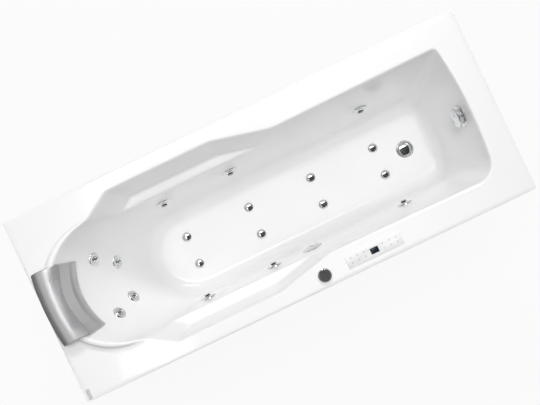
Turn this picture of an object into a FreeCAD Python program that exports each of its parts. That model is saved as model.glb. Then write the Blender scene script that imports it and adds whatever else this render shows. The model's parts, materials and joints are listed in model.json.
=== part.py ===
import FreeCAD, Part
import Sketcher
import math
import os
import re
from FreeCAD import Placement, Rotation, Vector

# Jetted bathtub, millimetres.  The origin is on the floor under the middle of the deck.
# +Z is up, +X runs from the head end (pillow) to the foot end (overflow), +Y is the far side.

doc = FreeCAD.newDocument("jetted_bathtub")
sheet = doc.addObject("Spreadsheet::Sheet", "sizes")

# Every driving dimension: alias, value, what it is.
SIZES = [
    # deck and skirt
    ("deck_length", 1750, "deck, head edge to foot edge"),
    ("deck_width", 700, "deck, near edge to far edge"),
    ("deck_height", 600, "floor to deck top"),
    ("skirt_depth", 40, "height of the folded edge round the deck"),
    ("deck_corner_radius", 8, "corner of the deck seen from above"),
    ("deck_edge_radius", 4, "rounding between deck and skirt"),
    ("acrylic_wall", 5, "thickness of the acrylic sheet"),
    # basin
    ("basin_depth", 420, "deck top to basin floor"),
    ("ledge_depth", 120, "deck top to the armrest ledges"),
    ("head_narrowing", 16, "how much narrower the head end is at the deck"),
    ("backrest_depth", 200, "depth at which the backrest is measured"),
    ("foot_rim_bow", 20, "how far the foot wall bows out at the deck"),
    ("foot_floor_bow", 12, "how far the foot wall bows out at the floor"),
    ("near_corner_radius", 75, "near foot corner at the deck"),
    ("far_corner_radius", 12, "far foot corner at the deck"),
    ("floor_corner_radius", 70, "both foot corners at the floor"),
    ("knee_x", 92, "where the armrest recesses end towards the foot"),
    ("floor_edge_radius", 60, "rounding between floor and walls"),
    # armrest recesses
    ("recess_foot_x", -96, "foot corner of the recess at the deck"),
    # raised head ridge
    ("ridge_height", 28, "height of the ridge at the head"),
    ("ridge_draft", 9, "how far the outer slope leans in"),
    # layers under the acrylic
    ("bond_gap", 0.3, "bond line between layers"),
    ("laminate_wall", 3, "thickness of the reinforcing laminate"),
    ("laminate_top_depth", 135, "depth at which the laminate starts"),
    ("board_thickness", 15, "board bonded under the floor"),
    ("board_inset", 22, "how far the board stays inside the floor outline"),
    # frame
    ("batten_width", 22, "timber batten under the deck edge"),
    ("batten_height", 20, "height of that batten"),
    ("rail_size", 30, "square tube of the long rails and cross bars"),
    ("rail_wall", 2, "wall of the square tube"),
    ("post_size", 20, "square tube of the posts"),
    ("cross_middle_x", 60, "cross bar in the middle"),
    ("board_screw_radius", 2.5, "screws that hold the board"),
    ("board_screw_y", 80, "those screws from the middle line"),
    ("board_screw_bite", 9, "depth of those screws in the board"),
    # levelling feet
    ("foot_pad_radius", 20, "rubber pad"),
    ("foot_pad_height", 20, "rubber pad"),
    ("foot_stud_radius", 6, "threaded stud"),
    ("foot_nut_radius", 11, "weld nut and lock nut, across corners"),
    ("foot_nut_height", 10, "height of each nut"),
    ("thread_clearance", 0.05, "radial clearance of running fits"),
    # fits in the walls
    ("seat_recess", 0.5, "flat seat milled into a curved wall under each fitting"),
    ("seat_clearance", 0.5, "radial clearance of that seat"),
    ("hole_clearance", 0.2, "radial clearance of holes through the walls"),
    # side jets
    ("jet_depth", 230, "deck top to the side jets"),
    ("jet_middle_x", -80, "middle pair of side jets"),
    ("jet_rim_radius", 29.5, "chrome face of a side jet"),
    ("jet_rim_height", 6.5, "how far the face stands proud"),
    ("jet_neck_radius", 21.8, "threaded neck through the wall"),
    ("jet_ball_radius", 17.4, "eyeball of a side jet"),
    ("jet_ball_inset", 5, "centre of the eyeball below the wall face"),
    ("jet_snout_radius", 7.5, "nozzle of the eyeball"),
    ("jet_bore_radius", 4.5, "bore of the nozzle"),
    ("jet_body_radius", 26, "body behind the wall"),
    ("jet_body_depth", 50, "body behind the wall"),
    # back jets
    ("back_jet_upper_depth", 128, "upper back jets below the deck"),
    ("back_jet_upper_y", 108, "upper back jets from the middle line"),
    ("back_jet_lower_depth", 224, "lower back jets below the deck"),
    ("back_jet_lower_y", 71, "lower back jets from the middle line"),
    ("back_jet_radius", 25, "chrome face of a back jet"),
    ("back_jet_height", 5, "how far the face stands proud"),
    ("back_rotor_radius", 12, "spinning insert"),
    ("back_shaft_radius", 2.5, "its pivot"),
    ("back_neck_radius", 16, "neck through the wall"),
    ("back_body_radius", 20, "body behind the wall"),
    ("back_body_depth", 42, "body behind the wall"),
    # floor air jets
    ("air_jet_radius", 19, "domed chrome cap"),
    ("air_jet_height", 5, "height of the dome"),
    ("air_jet_y", 58, "distance from the middle line"),
    ("air_neck_radius", 6.8, "neck through the floor"),
    ("air_body_radius", 12, "body under the board"),
    # suction
    ("suction_x", 77, "suction fitting on the near wall"),
    ("suction_radius", 40, "grille"),
    ("suction_neck_radius", 28, "neck through the wall"),
    ("suction_body_radius", 33, "body behind the wall"),
    ("suction_body_depth", 54, "body behind the wall"),
    ("suction_port_length", 58, "port down to the suction pipe"),
    # drain
    ("drain_radius", 35, "chrome flange"),
    ("drain_neck_radius", 28, "neck through the floor"),
    ("plug_radius", 27, "domed plug"),
    ("plug_stem_radius", 4, "stem of the plug"),
    ("drain_body_radius", 35, "body under the floor"),
    ("waste_radius", 20, "waste outlet spigot"),
    ("gasket_thickness", 2, "rubber gasket under the floor"),
    ("trap_wall", 3, "wall of the trap"),
    ("waste_reach", 150, "end of the spigot from the drain's axis"),
    ("waste_neck", 8, "thinner neck between the trap and the spigot"),
    # overflow
    ("overflow_depth", 92, "overflow below the deck"),
    ("overflow_radius", 41.5, "chrome wall ring"),
    ("overflow_knob_radius", 35, "turning front disc"),
    ("overflow_body_radius", 30, "body behind the wall"),
    ("overflow_neck_radius", 24, "neck through the wall"),
    ("overflow_body_depth", 52, "body behind the wall"),
    ("overflow_pipe_radius", 16, "pipe down to the drain"),
    ("spindle_radius", 3, "spindle of the turning disc"),
    ("plug_cable_bend", 45, "bend of the plug's pull cable"),
    # deck fittings
    ("air_valve_x", 70, "air regulator"),
    ("air_knob_radius", 25, "its knob"),
    ("air_knob_height", 13, "its knob"),
    ("air_neck_outer_radius", 14, "its neck through the deck"),
    ("panel_x", 266, "middle of the control panel"),
    ("panel_length", 215.7, "control panel"),
    ("panel_width", 45.7, "control panel"),
    ("panel_height", 3, "how far it stands proud"),
    ("panel_body_length", 196, "part below the deck"),
    ("panel_body_width", 36, "part below the deck"),
    ("panel_body_depth", 16, "part below the deck"),
    ("panel_clearance", 1, "clearance round that part"),
    ("display_length", 31, "display window"),
    ("display_width", 22, "display window"),
    # pipes
    ("water_pipe_radius", 16, "pressure pipe"),
    ("air_pipe_radius", 8, "air pipe of the side jets"),
    ("valve_pipe_radius", 7, "air pipe down from the regulator"),
    ("pipe_wall", 2.5, "wall of the pipes"),
    ("blower_pipe_radius", 10, "air pipe under the floor"),
    ("water_pipe_bend", 50, "bend of the pressure pipe"),
    ("air_pipe_bend", 50, "bend of the air pipe"),
    ("valve_pipe_bend", 30, "bend of the pipe from the regulator"),
    ("suction_pipe_bend", 45, "bend of the suction pipe"),
    ("overflow_pipe_bend", 60, "bend of the overflow pipe"),
    ("blower_pipe_bend", 22, "bends of the blower's feed pipe"),
    # pump
    ("pump_flange_y", -95, "joint between volute and motor"),
    ("volute_radius", 75, "pump casing"),
    ("volute_length", 52, "pump casing"),
    ("volute_wall", 6, "pump casing"),
    ("pump_inlet_radius", 25, "suction pipe and inlet"),
    ("pump_inlet_length", 34, "inlet nipple"),
    ("pump_outlet_radius", 18, "outlet nipple"),
    ("pump_shaft_radius", 7, "shaft"),
    ("motor_radius", 65, "motor"),
    ("motor_length", 200, "motor"),
    ("rotor_core_radius", 35, "motor rotor"),
    ("fan_radius", 52, "cooling fan"),
    ("fan_cover_length", 36, "fan cover"),
    ("shelf_thickness", 12, "equipment shelf"),
    # blower
    ("blower_radius", 60, "blower housing"),
    ("blower_height", 115, "blower housing"),
    ("blower_wall", 3, "blower housing"),
    ("blower_shaft_radius", 5, "shaft of the blower"),
    # control box
    ("box_y", -60, "control box"),
    ("box_width", 64, "control box along X"),
    ("box_length", 180, "control box along Y"),
    ("box_height", 88, "control box"),
    ("box_wall", 3, "control box"),
    ("box_lid", 14, "height of the control box lid"),
    ("gland_radius", 8, "cable glands of the control box"),
    ("gland_length", 12, "cable glands of the control box"),
    ("gland_height", 30, "glands above the shelf"),
    ("gland_spread", 16, "glands from the middle of the box"),
    ("supply_radius", 5, "bore of the supply gland"),
    ("cable_radius", 3, "control cables"),
    ("cable_bend", 12, "bends of the control cables"),
    ("terminal_box", 24, "half width of the terminal box on the motor"),
    ("terminal_y", 75, "middle of that box"),
    # pillow
    ("pillow_outer_half", 139, "half length of the pillow at the deck edge"),
    ("pillow_inner_half", 123, "half length of the pillow in the basin"),
    ("pillow_end_bow", 10, "how far its ends bow out"),
    ("pillow_back_bow", 10, "how far the outer edge curves in towards its corners"),
    ("pillow_nose_bow", 41, "how far the inner edge curves out towards its corners"),
    ("pillow_crown_x", 58, "its highest line from the outer edge"),
    ("pillow_top", 44, "height of the pillow over the deck"),
    ("pillow_drop", 72, "how far its inner edge reaches below the deck"),
    ("pillow_thickness", 34, "thickness of its inner part"),
    ("pillow_gap", 0.6, "clearance under the pillow"),
    ("peg_radius", 6, "pegs that hold the pillow"),
    ("peg_y", 80, "pegs from the middle line"),
    ("peg_inset", 12, "pegs from the outer edge of the pillow"),
    ("peg_length", 14, "pegs below the deck"),
    ("peg_clearance", 0.4, "radial clearance of the peg holes"),
]

# Places that keep their distance from an edge of the deck: alias, that distance, what it is.
FROM_HEAD_EDGE = [
    ("head_rim_x", 75, "head tip of the basin at the deck"),
    ("head_backrest_x", 240, "head tip of the basin at that depth"),
    ("head_floor_x", 375, "head tip of the basin at its floor"),
    ("recess_head_x", 375, "head corner of the recess at the deck"),
    ("recess_ledge_head_x", 429, "head corner of the ledge"),
    ("recess_slant_x", 195, "where the slanted head edge runs out"),
    ("ledge_slant_x", 255, "where the ledge's slanted edge runs out"),
    ("ridge_centre_x", 253, "centre of the ridge's outer foot circle"),
    ("ridge_end_x", 285, "where the ridge fades into the deck"),
    ("cross_head_x", 475, "cross bar at the head"),
    ("jet_head_x", 521, "head pair of side jets"),
    ("air_jet_first_x", 528, "air jets nearest the head"),
    ("water_pipe_head_x", 183, "where it crosses at the head"),
    ("air_pipe_head_x", 130, "where it crosses at the head"),
    ("pump_x", 127, "pump axis"),
    ("shelf_head_x", 25, "head edge of the shelf"),
    ("shelf_foot_x", 305, "foot edge of the shelf"),
    ("blower_x", 127, "blower axis"),
    ("box_x", 253, "control box"),
    ("pillow_back_x", 2, "outer edge of the pillow"),
    ("pillow_nose_x", 137, "inner edge of the pillow at the middle"),
]
FROM_FOOT_EDGE = [
    ("foot_rim_x", 91, "foot wall at the deck"),
    ("foot_floor_x", 182, "foot wall at the floor"),
    ("cross_foot_x", 355, "cross bar at the foot"),
    ("foot_x", 235, "distance of the feet from the middle"),
    ("post_x", 105, "where the end posts stand"),
    ("rail_half_length", 75, "half length of the long rails"),
    ("jet_foot_x", 415, "foot pair of side jets"),
    ("drain_x", 298, "drain from the middle"),
    ("air_jet_last_x", 410.5, "air jets nearest the foot"),
]
FROM_LONG_EDGE = [
    ("rim_half_width", 102, "half width of the basin at the deck"),
    ("ledge_half_width", 131, "half width of the basin at the ledges"),
    ("floor_half_width", 182, "half width of the basin at its floor"),
    ("recess_half_width", 57, "outer edge of the recess at the deck"),
    ("recess_ledge_half_width", 93, "outer edge of the ledge"),
    ("recess_slant_half_width", 169, "half width where it runs out"),
    ("ledge_slant_half_width", 238, "half width where it runs out"),
    ("ledge_tip_half_width", 138, "half width of the ledge's foot tip"),
    ("ridge_radius", 117, "radius of that circle"),
    ("water_pipe_half_width", 65, "pressure pipe from the middle line"),
    ("air_pipe_half_width", 118, "air pipe from the middle line"),
    ("blower_y", 107, "blower axis"),
]
FROM_NEAR_EDGE = [
    ("air_valve_y", 44, "air regulator"),
    ("panel_y", 49, "middle of the control panel"),
]
BELOW_DECK = [
    ("air_pipe_height", 188, "air pipe above the floor"),
    ("blower_pipe_height", 494, "its height above the floor"),
    ("pump_height", 382, "pump axis above the floor"),
]
# Each of them is a distance in one cell and a place worked out from it in another.
PLACES = [
    (FROM_HEAD_EDGE, "{} - deck_length / 2"),
    (FROM_FOOT_EDGE, "deck_length / 2 - {}"),
    (FROM_LONG_EDGE, "deck_width / 2 - {}"),
    (FROM_NEAR_EDGE, "{} - deck_width / 2"),
    (BELOW_DECK, "deck_height - {}"),
]

rows = [(alias, str(value), note) for alias, value, note in SIZES]
for places, formula in PLACES:
    for alias, distance, note in places:
        rows.append((alias + "_inset", str(distance), note + ", from the edge"))
        rows.append((alias, "=" + formula.format(alias + "_inset"), note))
for row, (alias, content, note) in enumerate(rows, start=1):
    sheet.set(f"A{row}", alias)
    sheet.set(f"B{row}", content)
    sheet.set(f"C{row}", note)
    sheet.setAlias(f"B{row}", alias)
doc.recompute()


def size(alias):
    """Value of a named dimension, read from the sheet."""
    return float(sheet.get(alias))


DECK = size("deck_height")
WALL = size("acrylic_wall")
DEPTH = size("basin_depth")
LEDGE = size("ledge_depth")
GAP = size("bond_gap")
LAMINATE = WALL + GAP + size("laminate_wall")
BACK = LAMINATE + GAP
# The same from the seat of a fitting on a curved wall.
SEAT_BACK = BACK - size("seat_recess")
NEAR = -1
FAR = 1
SUBPARTS = []


# ---------------------------------------------------------------- helpers

def cells(expression):
    """Expression with each bare alias turned into a reference to the sheet."""
    return re.sub("[a-z_]+", lambda word: "sizes." + word.group(), expression)


def keep(obj, label, placement=None):
    """Names an object as one piece of the tub."""
    obj.Label = label
    if placement is not None:
        obj.Placement = placement
    SUBPARTS.append(obj)
    return obj


def feature(label, shape):
    """A piece whose shape is worked out in code."""
    obj = doc.addObject("Part::Feature", label)
    obj.Shape = shape
    return keep(obj, label)


def bound(kind, name, **fields):
    """A primitive whose sizes follow the sheet."""
    obj = doc.addObject(kind, name)
    for field, expression in fields.items():
        obj.setExpression(field, cells(expression))
    return obj


def shifted(obj, x="0", y="0", z="0"):
    """Places a primitive at a point that follows the sheet."""
    for axis, expression in zip("xyz", (x, y, z)):
        obj.setExpression(f".Placement.Base.{axis}", cells(expression))
    return obj


def cut(name, base, tool):
    obj = doc.addObject("Part::Cut", name)
    obj.Base = base
    obj.Tool = tool
    return obj


def fuse(name, *shapes):
    obj = doc.addObject("Part::MultiFuse", name)
    obj.Shapes = list(shapes)
    return obj


def turned(name, profile):
    """A body turned about its Z axis from a closed profile of (radius, height) expressions."""
    body = doc.addObject("PartDesign::Body", name)
    sketch = body.newObject("Sketcher::SketchObject", name + "_profile")
    plane = next(f for f in body.Origin.OriginFeatures if f.Role == "XZ_Plane")
    sketch.AttachmentSupport = [(plane, "")]
    sketch.MapMode = "FlatFace"
    points = []
    for radius, height in profile:
        x = float(doc.sizes.evalExpression(cells(radius)))
        y = float(doc.sizes.evalExpression(cells(height)))
        points.append(Vector(x, y, 0))
    count = len(points)
    for i in range(count):
        sketch.addGeometry(Part.LineSegment(points[i], points[(i + 1) % count]), False)
    for i in range(count):
        sketch.addConstraint(Sketcher.Constraint("Coincident", i, 2, (i + 1) % count, 1))
    for i, (radius, height) in enumerate(profile):
        for kind, axis, text, at in (("DistanceX", -2, radius, points[i].x), ("DistanceY", -1, height, points[i].y)):
            if text == "0":
                sketch.addConstraint(Sketcher.Constraint("PointOnObject", i, 1, axis))
                continue
            index = sketch.addConstraint(Sketcher.Constraint(kind, -1, 1, i, 1, at))
            sketch.setExpression(f"Constraints[{index}]", cells(text))
    turn = body.newObject("PartDesign::Revolution", name + "_turn")
    turn.Profile = sketch
    turn.ReferenceAxis = (sketch, ["V_Axis"])
    turn.Angle = 360
    body.Tip = turn
    return body


def ring_of_holes(name, base, count, radius, hole, low, height):
    """Cuts a ring of round holes through a piece; sizes are expressions."""
    holes = []
    for i in range(count):
        angle = 360 * i / count
        pin = bound("Part::Cylinder", f"{name}_hole_{i + 1}", Radius=hole, Height=height)
        shifted(pin, f"{radius} * {math.cos(math.radians(angle)):.6f}",
                f"{radius} * {math.sin(math.radians(angle)):.6f}", low)
        holes.append(pin)
    return cut(name, base, fuse(name + "_holes", *holes))


def along(point, direction):
    """Placement that puts local Z along a direction."""
    return Placement(point, Rotation(Vector(0, 0, 1), direction))


def group(label, master, placements):
    """Several copies of one piece kept together as one node."""
    doc.recompute()
    copies = []
    for placement in placements:
        copy = master.Shape.copy()
        copy.Placement = placement.multiply(copy.Placement)
        copies.append(copy)
    return feature(label, Part.Compound(copies))


def cylinder(point, direction, radius, low, high):
    """Plain cylinder along a direction, from low to high beyond the point."""
    direction = Vector(direction)
    direction.normalize()
    return Part.makeCylinder(radius, high - low, point + direction * low, direction)


def box(x, y, z):
    """Box from three (low, high) pairs."""
    return Part.makeBox(x[1] - x[0], y[1] - y[0], z[1] - z[0], Vector(x[0], y[0], z[0]))


def route(points, bend):
    """Straight runs joined by tangent arcs of one radius."""
    edges = []
    start = points[0]
    for before, corner, after in zip(points, points[1:], points[2:]):
        back = (before - corner).normalize()
        onward = (after - corner).normalize()
        half = back.getAngle(onward) / 2
        leg = bend / math.tan(half)
        middle = (back + onward).normalize()
        centre = corner + middle * (bend / math.sin(half))
        arc_start = corner + back * leg
        arc_end = corner + onward * leg
        arc_middle = centre - middle * bend
        edges.append(Part.LineSegment(start, arc_start).toShape())
        edges.append(Part.Arc(arc_start, arc_middle, arc_end).toShape())
        start = arc_end
    edges.append(Part.LineSegment(start, points[-1]).toShape())
    return Part.Wire(edges)


def swept(points, radius, bend):
    """Round bar along a route."""
    path = route(points, bend)
    direction = points[1] - points[0]
    circle = Part.Wire(Part.makeCircle(radius, points[0], direction))
    shell = Part.BRepOffsetAPI.MakePipeShell(path)
    shell.add(circle)
    shell.build()
    shell.makeSolid()
    solid = shell.shape()
    expected = math.pi * radius ** 2 * path.Length
    if abs(solid.Volume - expected) > 0.01 * expected:
        raise ValueError("a swept pipe doesn't have the volume of its route")
    return solid


# ---------------------------------------------------------------- basin surfaces

def through(first, second, third, middle, depth):
    """Quadratic through a value at the deck, one at a middle depth and one at the floor."""
    at_deck = first * (depth - middle) * (depth - DEPTH) / (middle * DEPTH)
    at_middle = second * depth * (depth - DEPTH) / (middle * (middle - DEPTH))
    at_floor = third * depth * (depth - middle) / (DEPTH * (DEPTH - middle))
    return at_deck + at_middle + at_floor


def between(low, high, share):
    return low + (high - low) * share


def half_width(depth):
    """Half width of the basin between the armrests and the foot wall."""
    widths = size("rim_half_width"), size("ledge_half_width"), size("floor_half_width")
    return through(*widths, LEDGE, depth)


def head_half_width(depth):
    """Half width at the head, where the rim draws in above the ledges."""
    share = max(0, 1 - depth / LEDGE)
    return half_width(depth) - size("head_narrowing") * share ** 2


def head_tip(depth):
    """X of the backrest's middle line."""
    tips = size("head_rim_x"), size("head_backrest_x"), size("head_floor_x")
    return through(*tips, size("backrest_depth"), depth)


def outline(depth, grow=0.0):
    """Closed horizontal outline of the basin at a depth, moved outwards by a wall's thickness."""
    reach = min(depth, DEPTH)
    share = max(reach, 0) / DEPTH
    wide = half_width(reach) + grow * 1.015
    head = head_half_width(reach) + grow * 1.015
    tip = head_tip(reach) - grow * 1.236
    foot = between(size("foot_rim_x"), size("foot_floor_x"), share) + grow * 1.018
    bow = between(size("foot_rim_bow"), size("foot_floor_bow"), share)
    height = DECK - depth
    bow_radius = (wide ** 2 + bow ** 2) / (2 * bow)
    bow_centre = foot - bow_radius

    def corner(radius, side):
        x = bow_centre + math.sqrt((bow_radius - radius) ** 2 - (wide - radius) ** 2)
        y = side * (wide - radius)
        on_side = Vector(x, side * wide, height)
        lean = Vector(x - bow_centre, y, 0).normalize()
        on_foot = Vector(bow_centre, 0, height) + lean * bow_radius
        halfway = (Vector(0, side, 0) + lean).normalize()
        return on_side, Vector(x, y, height) + halfway * radius, on_foot

    near = between(size("near_corner_radius"), size("floor_corner_radius"), share) + grow
    far = between(size("far_corner_radius"), size("floor_corner_radius"), share) + grow
    near_side, near_middle, near_foot = corner(near, NEAR)
    far_side, far_middle, far_foot = corner(far, FAR)
    centre = tip + head
    diagonal = head * math.sqrt(0.5)
    top = Vector(tip, 0, height)
    near_head = Vector(centre, -head, height)
    far_head = Vector(centre, head, height)
    edges = [
        Part.Arc(top, Vector(centre - diagonal, -diagonal, height), near_head),
        Part.LineSegment(near_head, near_side),
        Part.Arc(near_side, near_middle, near_foot),
        Part.Arc(near_foot, Vector(foot, 0, height), far_foot),
        Part.Arc(far_foot, far_middle, far_side),
        Part.LineSegment(far_side, far_head),
        Part.Arc(far_head, Vector(centre - diagonal, diagonal, height), top),
    ]
    return Part.Wire([edge.toShape() for edge in edges])


ABOVE = size("skirt_depth")
ALONG = (-size("deck_length"), size("deck_length"))
ACROSS = (-size("deck_width"), size("deck_width"))


def basin(grow=0.0):
    """Solid that fills the basin, from above the deck to the floor, moved outwards by a wall."""
    depths = [-ABOVE, LEDGE / 2, LEDGE, (LEDGE + DEPTH) / 2]
    sections = [outline(depth, grow) for depth in depths] + [outline(DEPTH + grow, grow)]
    solid = Part.makeLoft(sections, True, False)
    floor = DECK - DEPTH - grow
    edges = [e for e in solid.Edges if all(abs(v.Z - floor) < 0.001 for v in e.Vertexes)]
    return solid.makeFillet(size("floor_edge_radius") + grow, edges)


RECESS_OVERRUN = 40


def recess(side, grow=0.0):
    """Solid that fills one armrest recess, from above the deck to its ledge."""
    inside = size("floor_half_width") * 0.6
    # Past the knee the edge runs on inside the basin, so that it crosses the basin's wall cleanly.
    end = size("knee_x") + RECESS_OVERRUN
    drift = RECESS_OVERRUN / (size("knee_x") - size("recess_foot_x"))
    deck_end = size("rim_half_width") - drift * (size("recess_half_width") - size("rim_half_width"))
    ledge_end = size("ledge_tip_half_width") - drift * (
        size("recess_ledge_half_width") - size("ledge_tip_half_width"))
    deck = [
        (size("recess_slant_x"), inside),
        (size("recess_slant_x"), size("recess_slant_half_width") + grow),
        (size("recess_head_x"), size("recess_half_width") + grow),
        (size("recess_foot_x"), size("recess_half_width") + grow),
        (end, deck_end + grow),
        (end, inside),
    ]
    ledge = [
        (size("ledge_slant_x"), inside),
        (size("ledge_slant_x"), size("ledge_slant_half_width") + grow),
        (size("recess_ledge_head_x"), size("recess_ledge_half_width") + grow),
        (size("recess_foot_x"), size("recess_ledge_half_width") + grow),
        (end, ledge_end + grow),
        (end, inside),
    ]
    rise = ABOVE / LEDGE
    above = [(d[0] + (d[0] - b[0]) * rise, d[1] + (d[1] - b[1]) * rise) for d, b in zip(deck, ledge)]
    top = [Vector(x, side * y, DECK + ABOVE) for x, y in above]
    bottom = [Vector(x, side * y, DECK - LEDGE - grow) for x, y in ledge]
    wires = [Part.makePolygon(points + points[:1]) for points in (top, bottom)]
    return Part.makeLoft(wires, True, True)


def ridge(grow=0.0):
    """Crescent that stands on the deck round the head of the basin, before the basin is cut away."""
    centre = size("ridge_centre_x")
    high = size("ridge_height") + grow
    low = -WALL
    lean = size("ridge_draft") / size("ridge_height")
    foot_radius = size("ridge_radius") + grow
    bottom = Part.Wire(Part.makeCircle(foot_radius - low * lean, Vector(centre, 0, DECK + low)))
    top = Part.Wire(Part.makeCircle(foot_radius - high * lean, Vector(centre, 0, DECK + high)))
    cone = Part.makeLoft([bottom, top], True, True)
    # The ridge is highest at the head and fades to nothing where it ends.
    head = centre - size("ridge_radius")
    slope = high / (size("ridge_end_x") - head)
    near = ACROSS[0]
    wedge = Part.Face(Part.makePolygon([
        Vector(head - 20, near, DECK + low),
        Vector(size("ridge_end_x"), near, DECK + low),
        Vector(size("ridge_end_x"), near, DECK + grow),
        Vector(head - 20, near, DECK + high + 20 * slope),
        Vector(head - 20, near, DECK + low),
    ])).extrude(Vector(0, ACROSS[1] - near, 0))
    return cone.common(wedge)


def hollow(grow=0.0):
    """Everything that is open from above: the basin and both armrest recesses."""
    return basin(grow).fuse([recess(NEAR, grow), recess(FAR, grow)]).removeSplitter()


CAVITY = hollow()


def wall_seat(start, direction):
    """Seat of a fitting where a line from inside the basin meets its wall; Z points into the basin."""
    ray = Part.makeLine(start, start + direction * size("deck_length"))
    run = CAVITY.common(ray)
    point = max((v.Point for v in run.Vertexes), key=lambda p: (p - start).Length)
    face = min(CAVITY.Faces, key=lambda f: f.distToShape(Part.Vertex(point))[0])
    u, v = face.Surface.parameter(point)
    outwards = face.normalAt(u, v)
    return along(point + outwards * size("seat_recess"), outwards * -1)


def local_z(placement):
    return placement.Rotation.multVec(Vector(0, 0, 1))


def at_height(placement, height):
    """Point on a fitting's axis, at a height over the wall."""
    return placement.Base + local_z(placement) * height


# ---------------------------------------------------------------- places of the fittings

JET_XS = [size("jet_head_x"), size("jet_middle_x"), size("jet_foot_x")]
JET_PLACES = [
    wall_seat(Vector(x, 0, DECK - size("jet_depth")), Vector(0, side, 0))
    for side in (NEAR, FAR) for x in JET_XS
]
BACK_JET_PLACES = [
    wall_seat(Vector(-200, side * size(f"back_jet_{name}_y"), DECK - size(f"back_jet_{name}_depth")),
              Vector(-1, 0, 0))
    for name in ("upper", "lower") for side in (NEAR, FAR)
]
AIR_JET_XS = [between(size("air_jet_first_x"), size("air_jet_last_x"), i / 3) for i in range(4)]
AIR_JET_PLACES = [
    Placement(Vector(x, side * size("air_jet_y"), DECK - DEPTH), Rotation())
    for x in AIR_JET_XS for side in (NEAR, FAR)
]
SUCTION_PLACE = wall_seat(Vector(size("suction_x"), 0, DECK - size("jet_depth")), Vector(0, NEAR, 0))
OVERFLOW_PLACE = wall_seat(Vector(0, 0, DECK - size("overflow_depth")), Vector(1, 0, 0))
DRAIN_PLACE = Placement(Vector(size("drain_x"), 0, DECK - DEPTH), Rotation())
AIR_VALVE_PLACE = Placement(Vector(size("air_valve_x"), size("air_valve_y"), DECK), Rotation())
PANEL_PLACE = Placement(Vector(size("panel_x"), size("panel_y"), DECK), Rotation())

RUN = size("thread_clearance")
# Places of the fittings and the radius of each hole through the wall.
WALL_HOLES = [
    (JET_PLACES, size("jet_neck_radius")),
    (BACK_JET_PLACES, size("back_neck_radius")),
    (AIR_JET_PLACES, size("air_neck_radius")),
    ([SUCTION_PLACE], size("suction_neck_radius")),
    ([OVERFLOW_PLACE], size("overflow_neck_radius")),
    ([DRAIN_PLACE], size("drain_neck_radius")),
    ([AIR_VALVE_PLACE], size("air_neck_outer_radius")),
]
# Curved walls also have a flat seat of the fitting's own radius.
WALL_SEATS = [
    (JET_PLACES, size("jet_rim_radius")),
    (BACK_JET_PLACES, size("back_jet_radius")),
    ([SUCTION_PLACE], size("suction_radius")),
    ([OVERFLOW_PLACE], size("overflow_radius")),
]


def fitting_holes():
    """One cutter for each hole through the wall and for each flat seat."""
    cutters = []
    for places, radius in WALL_HOLES:
        for place in places:
            cutters.append(cylinder(place.Base, local_z(place), radius + size("hole_clearance"), -30, 10))
    for places, radius in WALL_SEATS:
        for place in places:
            cutters.append(cylinder(place.Base, local_z(place), radius + size("seat_clearance"), 0, 12))
    return cutters


PEG_POINTS = [Vector(size("pillow_back_x") + size("peg_inset"), side * size("peg_y"), DECK) for side in (NEAR, FAR)]


def peg_holes():
    """Cutters for the holes that take the pillow's pegs."""
    radius = size("peg_radius") + size("peg_clearance")
    return [cylinder(point, Vector(0, 0, 1), radius, -size("peg_length") - 12, 40) for point in PEG_POINTS]


# ---------------------------------------------------------------- tub shell and its backing

def deck_slab(inset=0.0):
    """Deck with its skirt as a full block; the inset makes the block that hollows it out."""
    half_length = size("deck_length") / 2 - inset
    half_wide = size("deck_width") / 2 - inset
    top = DECK - inset
    low = DECK - size("skirt_depth")
    block = box((-half_length, half_length), (-half_wide, half_wide), (low, top))
    upright = [e for e in block.Edges if e.BoundBox.ZLength > 1]
    block = block.makeFillet(size("deck_corner_radius") - inset, upright)
    rim = [e for e in block.Edges if e.BoundBox.ZMin > top - 0.001]
    if inset == 0:
        block = block.makeFillet(size("deck_edge_radius"), rim)
    return block


def between_edges(middle, length):
    """Both ends of a length about its middle."""
    return middle - length / 2, middle + length / 2


def shell_shape():
    """One sheet of acrylic: deck, skirt, ridge, armrests and basin, with the holes of its fittings."""
    skin = deck_slab().cut(deck_slab(WALL)).cut(ridge(-WALL))
    below = box(ALONG, ACROSS, (0, DECK))
    bowl = hollow(WALL).common(below.fuse(ridge()))
    full = skin.fuse([ridge().cut(ridge(-WALL)), bowl])
    panel = box(
        between_edges(size("panel_x"), size("panel_body_length") + 2 * size("panel_clearance")),
        between_edges(size("panel_y"), size("panel_body_width") + 2 * size("panel_clearance")),
        (DECK - 2 * WALL, DECK + WALL))
    return full.cut(CAVITY).cut(fitting_holes() + [panel] + peg_holes())


feature("tub_shell", shell_shape())


def laminate_shape():
    """Laminate sprayed on the back of the basin below the armrests."""
    layer = basin(LAMINATE).cut(basin(WALL + GAP))
    layer = layer.common(box(ALONG, ACROSS, (0, DECK - size("laminate_top_depth"))))
    return layer.cut(fitting_holes())


feature("shell_laminate", laminate_shape())


SKIRT_INSIDE = size("deck_width") / 2 - WALL
END_INSIDE = size("deck_length") / 2 - WALL
BOARD_UNDERSIDE = DECK - DEPTH - LAMINATE - size("board_thickness")
RAIL = size("rail_size")
CROSS_LOW = BOARD_UNDERSIDE - RAIL
RAIL_LOW = CROSS_LOW - RAIL
RAIL_OUTSIDE = SKIRT_INSIDE - 2
RAIL_Y = RAIL_OUTSIDE - RAIL / 2
SHELF_TOP = CROSS_LOW + size("shelf_thickness")


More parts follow.
